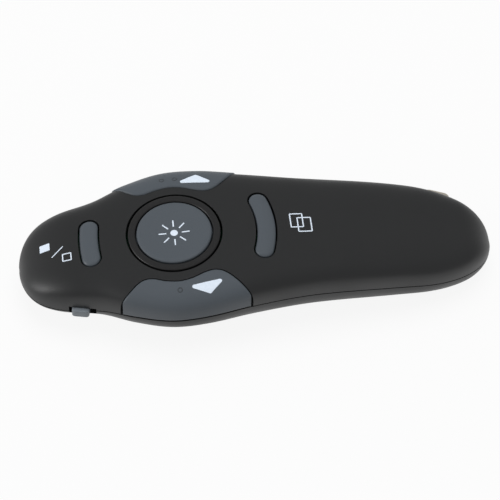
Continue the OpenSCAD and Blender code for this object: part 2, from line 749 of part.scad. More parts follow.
slide_switch_depth = 3.4;
slide_switch_from_wall = wall + 0.9;
module slide_switch() {
    travel_room = slider_travel + 0.6;
    x = -slot_length / 2 + knob_gap + 0.6 + knob_length / 2 - 0.8;
    color(steel_grey) from_nose() at_slot() difference() {
        translate([-4.3, slide_switch_from_wall, -1.6])
            cube([8.6, slide_switch_depth, board_height - slot_z + 1.6]);
        translate([x - 0.3, slide_switch_from_wall - past, -0.8])
            cube([1.6 + travel_room, 1.2 + past, 1.6]);
    }
}

// Board outline keeps clear of the top shell's inside
board_start = 12;
board_end = bay_from_nose - 0.6;
board_margin = 1.8;
board_cap = page_switch_offset + 2.3;
module main_board() {
    count = 16;
    side = [for (k = [0:count])
        let (x = board_start + (board_end - board_start) * k / count)
        [x, min(half_width(x) - wall - board_margin, board_cap)]];
    color(board_green) from_nose() difference() {
        translate([0, 0, board_height]) linear_extrude(board_thickness)
            polygon(concat(side, [for (k = [count:-1:0]) [side[k][0], -side[k][1]]]));
        for (p = screw_places)
            translate([p[0], p[1], board_height - past]) cylinder(r = screw_radius + 0.2, h = 4, $fn = 32);
    }
}

// Place and top of the plunger of every tact switch
switch_places = [
    [ring_from_nose, 0, laser_switch_top],
    [page_switch_from_nose, page_switch_offset, page_switch_top],
    [page_switch_from_nose, -page_switch_offset, page_switch_top],
    [blank_bar_from_nose, 0, blank_switch_top],
    [window_bar_from_nose, 0, window_switch_top]
];
switch_half_depth = 2;
module tact_switches() {
    color(steel_grey) from_nose()
        for (i = [0:len(switch_places) - 1]) {
            p = switch_places[i];
            depth_half = i == 0 ? switch_width / 2 : switch_half_depth;
            high = p[2] - plunger_length;
            difference() {
                translate([p[0] - depth_half, p[1] - depth_half, board_top])
                    cube([2 * depth_half, 2 * depth_half, high - board_top]);
                translate([p[0], p[1], high - button_travel - 0.2])
                    cylinder(r = plunger_radius * 0.8 + 0.1, h = 3, $fn = 32);
            }
        }
}
module plunger(i) {
    p = switch_places[i];
    color(bezel_black) from_nose() translate([p[0], p[1], p[2] - plunger_length - 0.1])
        cylinder(r = plunger_radius * 0.8, h = plunger_length + 0.1, $fn = 32);
}
module laser_plunger() { plunger(0); }
module page_up_plunger() { plunger(1); }
module page_down_plunger() { plunger(2); }
module blank_screen_plunger() { plunger(3); }
module window_plunger() { plunger(4); }

lens_radius = 1.9;
lens_thickness = 1;
module laser_barrel() {
    color(brass_yellow) from_nose() difference() {
        beam_cylinder(barrel_radius, barrel_from_nose, barrel_length);
        beam_cylinder(lens_radius + 0.02, barrel_from_nose - past, lens_thickness + past + 0.2);
        beam_cylinder(aperture_radius, barrel_from_nose, barrel_length - 3);
    }
}
module laser_lens() {
    color([0.8, 0.85, 0.9, 0.5]) from_nose()
        beam_cylinder(lens_radius, barrel_from_nose + 0.2, lens_thickness);
}
module nose_bush() {
    color(bezel_black) from_nose() difference() {
        beam_cylinder(bush_radius, bush_from_nose, bush_length);
        beam_cylinder(aperture_radius, bush_from_nose - past, bush_length + 2 * past);
    }
}
module laser_window() {
    color([0.5, 0.1, 0.1, 0.5]) from_nose()
        beam_cylinder(aperture_radius - 0.02, bush_from_nose + 0.5, 0.8);
}

// Cell with its positive nipple; the two cells lie head to tail
module cell(y, nipple_to_tail) {
    color([0.2, 0.45, 0.3]) from_nose()
        translate([cell_front + (nipple_to_tail ? 0 : cell_length), y, cell_height])
        rotate([0, nipple_to_tail ? 90 : -90, 0]) {
            cylinder(r = cell_radius, h = cell_length, $fn = 48);
            translate([0, 0, cell_length - 0.01]) cylinder(r = 1.9, h = cell_nipple + 0.01, $fn = 32);
        }
}
module battery_left() { cell(cell_offset, true); }
module battery_right() { cell(-cell_offset, false); }

contact_plate = 0.4;
contact_half = cell_radius - 1.15;
// Negative contacts: a plate on the bay's wall with a cone that stands for its spring
module spring_contacts() {
    color(steel_grey) from_nose() {
        translate([bay_from_nose + bay_wall, cell_offset, cell_height]) rotate([0, 90, 0]) {
            translate([-contact_half, -contact_half, 0]) cube([2 * contact_half, 2 * contact_half, contact_plate]);
            cylinder(r1 = 3.4, r2 = 2.2, h = cell_front - bay_from_nose - bay_wall, $fn = 32);
        }
        translate([bay_end, -cell_offset, cell_height]) rotate([0, -90, 0]) {
            translate([-contact_half, -contact_half, 0]) cube([2 * contact_half, 2 * contact_half, contact_plate]);
            cylinder(r1 = 3.4, r2 = 2.2, h = bay_end - cell_front - cell_length, $fn = 32);
        }
    }
}
// Positive contacts: plates with a round pad that meets the cell's nipple
module button_contacts() {
    color(steel_grey) from_nose() {
        translate([bay_end, cell_offset, cell_height]) rotate([0, -90, 0]) {
            translate([-contact_half, -contact_half, 0]) cube([2 * contact_half, 2 * contact_half, contact_plate]);
            cylinder(r = 2.2, h = bay_end - cell_front - cell_length - cell_nipple, $fn = 32);
        }
        translate([bay_from_nose + bay_wall, -cell_offset, cell_height]) rotate([0, 90, 0]) {
            translate([-contact_half, -contact_half, 0]) cube([2 * contact_half, 2 * contact_half, contact_plate]);
            cylinder(r = 2.2, h = cell_front - cell_nipple - bay_from_nose - bay_wall, $fn = 32);
        }
    }
}

module radio_chip() {
    color([0.1, 0.1, 0.1]) from_nose()
        translate([ring_from_nose - 12, -3, board_top]) cube([5, 5, 0.9]);
}
module crystal() {
    color(steel_grey) from_nose()
        translate([ring_from_nose - 11.5, 4, board_top]) cube([4, 2.4, 1.1]);
}

module shell_screws() {
    color(steel_grey) from_nose() for (p = screw_places) difference() {
        union() {
            translate([p[0], p[1], screw_seat_z - screw_head_height])
                cylinder(r = screw_head_radius, h = screw_head_height, $fn = 32);
            translate([p[0], p[1], screw_seat_z - 0.01])
                cylinder(r = screw_radius, h = screw_end_z(p) - screw_seat_z, $fn = 32);
        }
        for (turn = [0, 90])
            translate([p[0], p[1], screw_seat_z - screw_head_height])
                rotate([0, 0, turn]) cube([2.2, 0.5, 2 * drive_depth], center = true);
    }
}

// Wire staple on the page-up side of the tail
module strap_eyelet() {
    color(steel_grey) from_nose() at_eyelet() {
        translate([-eyelet_length / 2, 0, 0]) rotate([0, 90, 0])
            cylinder(r = eyelet_wire_radius, h = eyelet_length, $fn = 32);
        eyelet_legs(0);
    }
}

/* ---- Receiver: cap towards the nose, plug towards the tail ---- */

plug_skin = 0.3;
plug_start = receiver_cap_start + receiver_cap_length;
plug_z = receiver_z + (receiver_height - plug_height) / 2;
module receiver_cap() {
    color(black_plastic) from_nose() difference() {
        translate([receiver_cap_start, -receiver_width / 2, receiver_z])
            cube([receiver_cap_length, receiver_width, receiver_height]);
        translate([plug_start - 2, -plug_width / 2, plug_z]) cube([2 + past, plug_width, plug_height]);
    }
}
module receiver_shield() {
    color(steel_grey) from_nose() difference() {
        translate([plug_start - 2, -plug_width / 2, plug_z]) cube([plug_length + 2, plug_width, plug_height]);
        translate([plug_start - 1.5, -plug_width / 2 + plug_skin, plug_z + plug_skin])
            cube([plug_length + 3, plug_width - 2 * plug_skin, plug_height - 2 * plug_skin]);
        for (y = [-2.6, 2.6])
            translate([plug_start + 6, y - 1.1, plug_z - past]) cube([2.4, 2.2, past + 2 * plug_skin]);
    }
}
tongue_height = 1.9;
module receiver_tongue() {
    color([0.92, 0.92, 0.9]) from_nose()
        translate([plug_start - 1.5, -plug_width / 2 + plug_skin, plug_z + plug_height - plug_skin - tongue_height])
        cube([plug_length + 1, plug_width - 2 * plug_skin, tongue_height]);
}
module receiver_contacts() {
    color(brass_yellow) from_nose()
        for (k = [-1.5:1:1.5])
            translate([plug_start + 2, 2.5 * k - 0.5, plug_z + plug_height - plug_skin - tongue_height - 0.15])
                cube([plug_length - 3.5, 1, 0.15]);
}

top_shell();
bottom_shell();
battery_cover();
button_bezel();
laser_button();
page_up_button();
page_down_button();
blank_screen_button();
window_button();
power_slider();
slide_switch();
main_board();
tact_switches();
laser_plunger();
page_up_plunger();
page_down_plunger();
blank_screen_plunger();
window_plunger();
laser_barrel();
laser_lens();
nose_bush();
laser_window();
battery_left();
battery_right();
spring_contacts();
button_contacts();
radio_chip();
crystal();
shell_screws();
strap_eyelet();
receiver_cap();
receiver_shield();
receiver_tongue();
receiver_contacts();
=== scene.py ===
# %% [markdown]
# # A wireless presentation clicker
# The CAD model is a fixed frame: it says where each piece is and which body it rides on. This
# script dresses that frame. It draws smooth skins for the moulded shells and buttons, prints the
# icons on them, and gives every piece a finish that follows how the real one is made.

# %% Load the frame
import json
import math

import bmesh
import bpy
import numpy as np
from mathutils import Matrix, Vector


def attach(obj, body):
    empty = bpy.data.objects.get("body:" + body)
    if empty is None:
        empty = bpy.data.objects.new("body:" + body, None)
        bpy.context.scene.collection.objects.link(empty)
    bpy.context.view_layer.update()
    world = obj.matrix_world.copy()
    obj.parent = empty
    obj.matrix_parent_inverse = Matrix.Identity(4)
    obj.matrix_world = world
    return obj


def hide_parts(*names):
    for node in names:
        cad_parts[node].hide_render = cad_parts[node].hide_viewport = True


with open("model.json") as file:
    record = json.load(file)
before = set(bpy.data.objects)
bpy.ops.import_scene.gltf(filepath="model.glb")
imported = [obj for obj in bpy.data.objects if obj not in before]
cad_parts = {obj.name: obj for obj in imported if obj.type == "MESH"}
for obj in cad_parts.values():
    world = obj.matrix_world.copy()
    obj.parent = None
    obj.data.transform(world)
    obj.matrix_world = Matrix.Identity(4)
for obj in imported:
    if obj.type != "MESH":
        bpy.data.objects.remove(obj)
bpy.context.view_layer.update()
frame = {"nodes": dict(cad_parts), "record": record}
# The frame's own plain colours go, so that the finishes made below can have their names
for plain_colour in list(bpy.data.materials):
    bpy.data.materials.remove(plain_colour)

# %% [markdown]
# ## Colours and nodes
# A colour picker shows sRGB, but shaders work in linear light. One function turns a hex value
# into the linear colour that a shader socket wants. A second one adds a node with its settings
# and its links, which keeps each material short enough to read from top to bottom.

# %% Helpers for materials
MM = 0.001


def linear(hex_colour):
    channels = [int(hex_colour[i:i + 2], 16) / 255 for i in (1, 3, 5)]
    return [c / 12.92 if c <= 0.04045 else ((c + 0.055) / 1.055) ** 2.4 for c in channels] + [1.0]


def add_node(tree, kind, inputs=None, **settings):
    new = tree.nodes.new(kind)
    for name, value in settings.items():
        setattr(new, name, value)
    for name, value in (inputs or {}).items():
        if isinstance(value, bpy.types.NodeSocket):
            tree.links.new(value, new.inputs[name])
        else:
            new.inputs[name].default_value = value
    return new


def blank_material(name):
    material = bpy.data.materials.new(name)
    material.use_nodes = True
    material.node_tree.nodes.clear()
    return material, material.node_tree


def finished(material, shader):
    add_node(material.node_tree, "ShaderNodeOutputMaterial", {"Surface": shader.outputs[0]})
    return material


# %% [markdown]
# ## Moulded ABS
# The shells and buttons are injection-moulded ABS. The mould is spark-eroded, so the surface
# carries a fine, even grain that spreads highlights into a soft sheen. ABS has an IOR near 1.54.
# The real grain is about 0.1 mm, too fine to show here, so it is drawn about 0.3 mm wide. A wide,
# weak cloud of roughness stands for the polish that a hand leaves. The Bevel node rounds the light
# over every sharp edge, as the small radius on each moulded edge does.

# %% Moulded plastics
def moulded_abs(name, colour, roughness, grain_mm, grain_depth_mm, edge_mm=0.2, rubbed=0.06):
    material, tree = blank_material(name)
    place = add_node(tree, "ShaderNodeTexCoord").outputs["Object"]
    grain = add_node(tree, "ShaderNodeTexNoise", {
        "Vector": place, "Scale": 1 / (grain_mm * MM), "Detail": 2.0, "Roughness": 0.6})
    hand = add_node(tree, "ShaderNodeTexNoise", {
        "Vector": place, "Scale": 1 / (14 * MM), "Detail": 3.0})
    polish = add_node(tree, "ShaderNodeMapRange", {
        "Value": hand.outputs["Fac"], "From Min": 0.3, "From Max": 0.7,
        "To Min": roughness - rubbed, "To Max": roughness + rubbed})
    lighter = [min(c * 1.12, 1.0) for c in linear(colour)[:3]] + [1.0]
    # Sockets 6 and 7 of a colour mix are its two colours
    tint = add_node(tree, "ShaderNodeMix", {
        0: grain.outputs["Fac"], 6: linear(colour), 7: lighter}, data_type="RGBA")
    edge = add_node(tree, "ShaderNodeBevel", {"Radius": edge_mm * MM}, samples=6)
    bump = add_node(tree, "ShaderNodeBump", {
        "Height": grain.outputs["Fac"], "Normal": edge.outputs[0],
        "Strength": 0.5, "Distance": grain_depth_mm * MM})
    shader = add_node(tree, "ShaderNodeBsdfPrincipled", {
        "Base Color": tint.outputs[2], "Roughness": polish.outputs[0],
        "Normal": bump.outputs[0], "IOR": 1.54})
    return finished(material, shader)


black_abs = moulded_abs("black_abs", "#161718", 0.46, 0.3, 0.02)
key_grey = moulded_abs("key_grey", "#41474d", 0.5, 0.3, 0.02, edge_mm=0.15)
slider_grey = moulded_abs("slider_grey", "#6a7076", 0.5, 0.3, 0.01, edge_mm=0.1)
bezel_black = moulded_abs("bezel_black", "#101011", 0.4, 0.4, 0.008)
mark_grey = moulded_abs("mark_grey", "#33373b", 0.5, 0.3, 0.01)
moulded_abs("dark_nylon", "#181819", 0.55, 0.3, 0.01)
moulded_abs("white_nylon", "#d6d6d0", 0.5, 0.3, 0.01)
moulded_abs("chip_epoxy", "#141414", 0.6, 0.2, 0.01)
print("moulded plastics:", len(bpy.data.materials))

# %% [markdown]
# ## Metals, board, cells and ink
# Zinc-plated steel shows a fine rolled grain, so its roughness is stretched along one direction.
# Nickel wire is bright and nearly clean. The board has a green solder mask over copper tracks that
# stand up slightly; its colours are darkened to near black as painted shade, so that the gaps round
# the keys stay dark. A cell has a printed jacket, left blank here. The icons are pad-printed ink:
# an even, slightly bluish white, with no gloss.

# %% Other finishes
def plated_metal(name, colour, roughness, brushed_mm):
    material, tree = blank_material(name)
    place = add_node(tree, "ShaderNodeTexCoord").outputs["Object"]
    along = add_node(tree, "ShaderNodeMapping", {"Vector": place, "Scale": (0.08, 1.0, 1.0)})
    grain = add_node(tree, "ShaderNodeTexNoise", {
        "Vector": along.outputs[0], "Scale": 1 / (brushed_mm * MM), "Detail": 3.0})
    rough = add_node(tree, "ShaderNodeMapRange", {
        "Value": grain.outputs["Fac"], "To Min": roughness - 0.08, "To Max": roughness + 0.12})
    bump = add_node(tree, "ShaderNodeBump", {
        "Height": grain.outputs["Fac"], "Strength": 0.3, "Distance": 0.01 * MM})
    shader = add_node(tree, "ShaderNodeBsdfPrincipled", {
        "Base Color": linear(colour), "Metallic": 1.0, "Roughness": rough.outputs[0],
        "Normal": bump.outputs[0]})
    return finished(material, shader)


def solder_mask_with_painted_shade(name):
    material, tree = blank_material(name)
    place = add_node(tree, "ShaderNodeTexCoord").outputs["Object"]
    # Mask and track colours are near black: the board's green, darkened as painted shade for the
    # gaps round the keys
    # Tracks about 0.8 mm apart, drawn as the joints of long bricks
    tracks = add_node(tree, "ShaderNodeTexBrick", {
        "Vector": place, "Color1": linear("#0a2417"), "Color2": linear("#0b2a1b"),
        "Mortar": linear("#154532"), "Scale": 1.0, "Mortar Size": 0.12 * MM,
        "Brick Width": 6 * MM, "Row Height": 0.9 * MM})
    bump = add_node(tree, "ShaderNodeBump", {
        "Height": tracks.outputs["Fac"], "Strength": 0.5, "Distance": 0.03 * MM})
    shader = add_node(tree, "ShaderNodeBsdfPrincipled", {
        "Base Color": tracks.outputs["Color"], "Roughness": 0.25, "Normal": bump.outputs[0]})
    return finished(material, shader)


def cell_jacket_print(name):
    material, tree = blank_material(name)
    place = add_node(tree, "ShaderNodeTexCoord").outputs["Object"]
    film = add_node(tree, "ShaderNodeTexNoise", {
        "Vector": place, "Scale": 1 / (2.5 * MM), "Detail": 2.0})
    rough = add_node(tree, "ShaderNodeMapRange", {
        "Value": film.outputs["Fac"], "To Min": 0.2, "To Max": 0.32})
    shader = add_node(tree, "ShaderNodeBsdfPrincipled", {
        "Base Color": linear("#2b6a45"), "Roughness": rough.outputs[0],
        "Coat Weight": 0.4, "Coat Roughness": 0.1})
    return finished(material, shader)


def pad_printed_ink(name):
    material, tree = blank_material(name)
    place = add_node(tree, "ShaderNodeTexCoord").outputs["Object"]
    mottle = add_node(tree, "ShaderNodeTexNoise", {
        "Vector": place, "Scale": 1 / (0.6 * MM), "Detail": 2.0})
    tint = add_node(tree, "ShaderNodeMix", {
        0: mottle.outputs["Fac"], 6: linear("#c4cfdc"), 7: linear("#d6dfea")}, data_type="RGBA")
    shader = add_node(tree, "ShaderNodeBsdfPrincipled", {
        "Base Color": tint.outputs[2], "Roughness": 0.6})
    return finished(material, shader)


def clear_glass(name, colour):
    material, tree = blank_material(name)
    shader = add_node(tree, "ShaderNodeBsdfPrincipled", {
        "Base Color": linear(colour), "Roughness": 0.03, "Transmission Weight": 1.0, "IOR": 1.5})
    return finished(material, shader)


zinc_steel = plated_metal("zinc_steel", "#b9babd", 0.3, 0.25)
nickel_wire = plated_metal("nickel_wire", "#e6dfd2", 0.38, 0.6)
plated_metal("brass", "#c9a35c", 0.3, 0.2)
plated_metal("gold_contacts", "#e0b45a", 0.2, 0.3)
solder_mask_with_painted_shade("fr4_board")
cell_jacket = cell_jacket_print("cell_jacket")
icon_ink = pad_printed_ink("icon_ink")
clear_glass("lens_glass", "#f2f6f8")
clear_glass("tinted_glass", "#a03030")
finishes = dict(bpy.data.materials.items())
print("finishes:", len(finishes))

# %% [markdown]
# ## The body's form
# The body is one long form whose section changes along its length: a plan that narrows twice like
# an hourglass, a seam line that rises and falls, a crown over the seam and a depth under it. Each
# of these is a smooth curve through a few measured points, in millimetres from the nose tip. A
# section is a superellipse, which is squarer than an ellipse and gives the flat top its soft
# shoulders. The two ends close with a rounded run-out.

# %% Profiles along the body
LENGTH = 130.0
WALL = 1.6
TOP_SQUARE = 3.9
BOTTOM_SQUARE = [(0, 1.6), (16, 1.6), (32, 2.1), (48, 2.3), (130, 2.3)]
PLAN = [(0, 20), (10, 17), (20, 16.6), (30, 20.7), (40, 23.5), (50, 23.3), (62, 21.1), (78, 18.6),
        (100, 16.8), (130, 14)]
SEAM = [(0, 8), (15, 9.3), (30, 11.8), (65, 13.6), (100, 11.2), (130, 6.4)]
CROWN = [(0, 7.4), (15, 8.65), (30, 8.15), (43, 8), (70, 8), (100, 7.6), (130, 6)]
UNDERSIDE = [(0, 0), (16, -0.15), (45, 1.2), (75, 1.4), (112, -0.15), (130, -0.15)]


def curve(points, x):
    """Smooth curve through (station, value) pairs, with each slope taken from the neighbours."""
    s, v = np.array(points, float).T
    x = np.clip(np.asarray(x, float), s[0], s[-1])
    before = np.maximum(np.arange(len(s)) - 1, 0)
    after = np.minimum(np.arange(len(s)) + 1, len(s) - 1)
    slope = (v[after] - v[before]) / (s[after] - s[before])
    i = np.clip(np.searchsorted(s, x, "right") - 1, 0, len(s) - 2)
    h = s[i + 1] - s[i]
    t = (x - s[i]) / h
    return ((2 * t**3 - 3 * t**2 + 1) * v[i] + (t**3 - 2 * t**2 + t) * h * slope[i]
            + (-2 * t**3 + 3 * t**2) * v[i + 1] + (t**3 - t**2) * h * slope[i + 1])


def end_round(from_tip, reach, squareness):
    t = np.clip(1 - np.asarray(from_tip, float) / reach, 0, 1)
    return (1 - t**squareness) ** (1 / squareness)


def half_width(x):
    return curve(PLAN, x) * end_round(x, 22, 2) * end_round(LENGTH - x, 23, 2.2)


def seam_z(x):
    return curve(SEAM, x)


def height_round(x):
    return end_round(x, 16, 2) * end_round(LENGTH - x, 8, 2)


def crown(x):
    return curve(CROWN, x) * height_round(x)


def depth(x):
    return (seam_z(x) - curve(UNDERSIDE, x)) * height_round(x)


def top_z(x, y, proud=0.0):
    share = np.clip(np.abs(y) / (half_width(x) + proud), 0, 0.999)
    return seam_z(x) + (crown(x) + proud) * (1 - share**TOP_SQUARE) ** (1 / TOP_SQUARE)


print("height over the table at the round button:", round(float(top_z(42.3, 0)), 2), "mm")

# %% [markdown]
# ## Building blocks for meshes
# Points are written in millimetres from the nose tip, as in the CAD source, and one function moves
# them into the frame, where the origin lies under the middle of the body. Smooth shading is kept
# on soft surfaces, and edges over 35 degrees stay sharp. Openings are cut with Boolean modifiers,
# which are applied at once so that each piece ends as one clean mesh.

# %% Mesh helpers
def in_frame(points):
    points = np.asarray(points, float).reshape(-1, 3)
    return [((x - LENGTH / 2) * MM, y * MM, z * MM) for x, y, z in points]


SHARP_DEGREES = 35


def shade(mesh, sharp_degrees=SHARP_DEGREES):
    mesh.shade_smooth()
    mesh.set_sharp_from_angle(angle=math.radians(sharp_degrees))


def make_piece(name, points, faces, material, sharp_degrees=SHARP_DEGREES):
    mesh = bpy.data.meshes.new(name)
    mesh.from_pydata(in_frame(points), [], faces)
    mesh.validate()
    outward = bmesh.new()
    outward.from_mesh(mesh)
    bmesh.ops.recalc_face_normals(outward, faces=outward.faces)
    outward.to_mesh(mesh)
    outward.free()
    mesh.materials.append(material)
    shade(mesh, sharp_degrees)
    piece = bpy.data.objects.new(name, mesh)
    bpy.context.collection.objects.link(piece)
    return piece


def apply_modifiers(piece):
    graph = bpy.context.evaluated_depsgraph_get()
    old = piece.data
    new = bpy.data.meshes.new_from_object(piece.evaluated_get(graph))
    piece.modifiers.clear()
    piece.data = new
    new.name = piece.name
    bpy.data.meshes.remove(old)
    shade(new)
    return piece


def combine(piece, operation, tools):
    """Applies a Boolean with each tool in turn, then removes the tools."""
    for tool in tools:
        step = piece.modifiers.new(operation, "BOOLEAN")
        step.operation = operation
        step.solver = "MANIFOLD"
        step.object = tool
    apply_modifiers(piece)
    for tool in tools:
        mesh = tool.data
        bpy.data.objects.remove(tool)
        bpy.data.meshes.remove(mesh)


def bevelled(piece, width_mm):
    step = piece.modifiers.new("edges", "BEVEL")
    step.width = width_mm * MM
    step.segments = 4
    step.limit_method = "ANGLE"
    step.angle_limit = math.radians(30)
    return apply_modifiers(piece)


def ring_faces(rows, count, closed=True):
    """Quads between rows of points."""
    faces = []
    for r in range(rows - 1):
        for c in range(count if closed else count - 1):
            d = (c + 1) % count
            faces.append((r * count + c, r * count + d, (r + 1) * count + d, (r + 1) * count + c))
    return faces


def skin(name, rings, material):
    """Closed solid through rings, filled at both ends."""
    rings = np.asarray(rings, float)
    rows, count = rings.shape[:2]
    faces = ring_faces(rows, count)
    faces.append(tuple(reversed(range(count))))
    faces.append(tuple((rows - 1) * count + c for c in range(count)))
    return make_piece(name, rings.reshape(-1, 3), faces, material)


def prism(name, outline, low, high, material=black_abs):
    """Straight block over a plan outline that turns anticlockwise as seen from above."""
    return skin(name, [[(x, y, z) for x, y in outline] for z in (low, high)], material)


def in_body(x, y, z):
    return (x, y, z)


def box(name, low, high, material=black_abs, place=in_body):
    """Block that lies straight in the body or in the local frame that place stands for."""
    (x0, y0, z0), (x1, y1, z1) = low, high
    corners = ((x0, y0), (x1, y0), (x1, y1), (x0, y1))
    return skin(name, [[place(x, y, z) for x, y in corners] for z in (z0, z1)], material)


def full_turn(count):
    return np.linspace(0, 2 * math.pi, count, endpoint=False)


def circle(x, y, radius, count=64):
    return [(x + radius * math.cos(a), y + radius * math.sin(a)) for a in full_turn(count)]


def lathe(name, profile, place, material, count=128, hole=False):
    """Turned solid. place turns (radius * cos, radius * sin, height) into the body's millimetres.
    The profile runs from the axis at the bottom to the axis at the top, or, round a hole, from the
    hole's foot outwards and back over the top."""
    turn = full_turn(count)
    rings = [[place(r * math.cos(a), r * math.sin(a), h) for a in turn] for r, h in profile]
    if hole:
        points = np.array(rings).reshape(-1, 3)
        faces = [tuple(i % len(points) for i in f) for f in ring_faces(len(rings) + 1, count)]
        return make_piece(name, points, faces, material)
    return skin(name, rings, material)


def swept(name, path, radius, material, count, flat=(0.0, 0.0, 1.0)):
    """Wire along a path. flat is a direction that the path never follows."""
    path = np.asarray(path, float)
    ahead = np.gradient(path, axis=0)
    ahead /= np.linalg.norm(ahead, axis=1)[:, None]
    rings = []
    for point, along in zip(path, ahead):
        side = np.cross(along, flat)
        side /= np.linalg.norm(side)
        other = np.cross(side, along)
        rings.append([point + radius * (math.cos(a) * side + math.sin(a) * other)
                      for a in full_turn(count)])
    return skin(name, rings, material)


def settle(piece, body, node):
    """Says which body carries a piece and which CAD node it stands for."""
    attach(piece, body)
    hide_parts(node)
    print(piece.name, "rides on", body + ",", len(piece.data.polygons), "faces")


# %% [markdown]
# ## The camera
# The photograph is a product shot from about 53 degrees above the table, taken with a long lens,
# so lines hardly converge. The camera looks almost straight across the body and is rolled by under
# 3 degrees. Its place was fitted to the outline, the seam and the round button.

# %% Camera
def look(elevation, yaw, roll, pixels_per_mm, focal_pixels, target):
    e, a, r = (math.radians(v) for v in (elevation, yaw, roll))
    forward = Vector((math.sin(a) * math.cos(e), math.cos(a) * math.cos(e), -math.sin(e)))
    level = Vector((math.cos(a), -math.sin(a), 0))
    up = level.cross(forward)
    right = level * math.cos(r) + up * math.sin(r)
    above = up * math.cos(r) - level * math.sin(r)
    distance = focal_pixels / pixels_per_mm * MM
    place = Vector(in_frame([target])[0]) - forward * distance
    turned = Matrix((right, above, -forward)).transposed().to_4x4()
    return Matrix.Translation(place) @ turned


FOCAL_PIXELS = 2400
PICTURE_PIXELS = 500
camera_data = bpy.data.cameras.new("camera")
camera = bpy.data.objects.new("camera", camera_data)
bpy.context.collection.objects.link(camera)
camera_data.sensor_width = 36
camera_data.lens = FOCAL_PIXELS / PICTURE_PIXELS * camera_data.sensor_width
camera_data.clip_start = 0.05
camera.matrix_world = look(elevation=52.92, yaw=8.46, roll=2.73, pixels_per_mm=3.65,
                           focal_pixels=FOCAL_PIXELS, target=(63.24, 0.33, 10))
bpy.context.scene.camera = camera
print("lens:", round(camera_data.lens, 1), "mm")

# %% [markdown]
# ## Light and floor
# The photograph is lit by a broad, even light from above and a weaker one from the nose's side, on
# a white ground with hardly a shadow. Two large area lamps and a soft sky give that. The white of
# the ground and backdrop comes from their own materials, which the camera, gloss and glass see as
# white, not from more light. So the black plastic keeps its depth.

# %% Studio
scene = bpy.context.scene
scene.view_settings.view_transform = "Standard"


def seen_plainly(tree, *kinds):
    """One for the kinds of ray that see the surroundings plain white, zero for the others."""
    path = add_node(tree, "ShaderNodeLightPath").outputs
    result = path[kinds[0]]
    for kind in kinds[1:]:
        larger = add_node(tree, "ShaderNodeMath", {0: result, 1: path[kind]}, operation="MAXIMUM")
        result = larger.outputs[0]
    return result


world = bpy.data.worlds.new("studio")
world.use_nodes = True
scene.world = world
sky = world.node_tree
sky.nodes.clear()
plain = seen_plainly(sky, "Is Camera Ray", "Is Transmission Ray")
soft = add_node(sky, "ShaderNodeBackground", {"Color": (1, 1, 1, 1), "Strength": 0.43})
white = add_node(sky, "ShaderNodeBackground", {"Color": (1, 1, 1, 1), "Strength": 1.0})
both = add_node(sky, "ShaderNodeMixShader", {"Fac": plain, 1: soft.outputs[0], 2: white.outputs[0]})
add_node(sky, "ShaderNodeOutputWorld", {"Surface": both.outputs[0]})


def area_lamp(name, place, size, watts, aim=(0, 0, 0.01)):
    data = bpy.data.lights.new(name, "AREA")
    data.shape = "DISK"
    data.size = size
    data.energy = watts
    lamp = bpy.data.objects.new(name, data)
    bpy.context.collection.objects.link(lamp)
    direction = Vector(aim) - Vector(place)
    lamp.matrix_world = (Matrix.Translation(place)
                         @ direction.to_track_quat("-Z", "Y").to_matrix().to_4x4())
    return lamp


overhead = area_lamp("overhead", (0.05, 0.15, 0.9), size=0.7, watts=6.5, aim=(0, 0, 0))
overhead.visible_glossy = False
area_lamp("side", (-0.9, -0.05, 0.35), size=0.5, watts=3.0)

floor_material, tree = blank_material("paper_floor")
plain = seen_plainly(tree, "Is Camera Ray", "Is Glossy Ray", "Is Transmission Ray")
paper = add_node(tree, "ShaderNodeBsdfDiffuse", {"Color": linear("#d0d0d0")})
bright = add_node(tree, "ShaderNodeEmission", {"Color": (1, 1, 1, 1), "Strength": 1.0})
share = add_node(tree, "ShaderNodeMath", {0: plain, 1: 0.9}, operation="MULTIPLY")
finished(floor_material, add_node(tree, "ShaderNodeMixShader", {
    "Fac": share.outputs[0], 1: paper.outputs[0], 2: bright.outputs[0]}))
floor_mesh = bpy.data.meshes.new("floor")
floor_mesh.from_pydata([(-2, -2, 0), (2, -2, 0), (2, 2, 0), (-2, 2, 0)], [], [(0, 1, 2, 3)])
floor_mesh.materials.append(floor_material)
floor = bpy.data.objects.new("floor", floor_mesh)
bpy.context.collection.objects.link(floor)
print("lamps:", len(bpy.data.lights))

# %% [markdown]
# ## The two shells
# Each half shell is a grid of points over the superellipse sections, outside and inside, joined at
# the seam. The outer grid starts a little off the seam line and dips inwards first, so that a
# narrow groove runs round the body where the halves meet, as on the real one. The openings are
# then cut with plain blocks that have the openings' plan outlines.

# %% Section arcs
def section(x, w, t, n, turn, up=1):
    """Points of a superellipse of half width w, height t and squareness n, centred on the seam."""
    r = (np.abs(np.cos(turn)) ** n + np.abs(np.sin(turn)) ** n) ** (-1 / n)
    z = seam_z(x) + up * t * r * np.sin(turn)
    return np.stack([np.full(len(turn), float(x)), w * r * np.cos(turn), z], 1)


def angle_at_rise(share, n):
    """The turn at which a section has risen by this share of its height."""
    s = min(share, 0.999)
    return math.atan2(s, (1 - s**n) ** (1 / n))


def angle_at_reach(share, n):
    """The turn at which a section lies out by this share of its half width."""
    s = min(share, 0.9999)
    return math.atan2((1 - s**n) ** (1 / n), s)


def arc(x, inset, up, count, first=0.0):
    """Points of a half section at x, from the page-up side's seam over to the other side. first is
    the height off the seam at which it starts and ends."""
    n = TOP_SQUARE if up > 0 else float(curve(BOTTOM_SQUARE, x))
    t = (crown(x) if up > 0 else depth(x)) - inset
    start = angle_at_rise(first / t, n)
    turn = np.linspace(start, math.pi - start, count)
    points = section(x, half_width(x) - inset, t, n, turn, up)
    if up < 0:
        points[:, 2] = np.maximum(points[:, 2], max(inset, 0))
    return points


STATIONS = 260
ACROSS = 112
TIP = 0.03
GROOVE_HALF = 0.16
GROOVE_DEEP = 0.45


def crowded(count, start, end):
    return start + (end - start) * (1 - np.cos(np.linspace(0, math.pi, count))) / 2


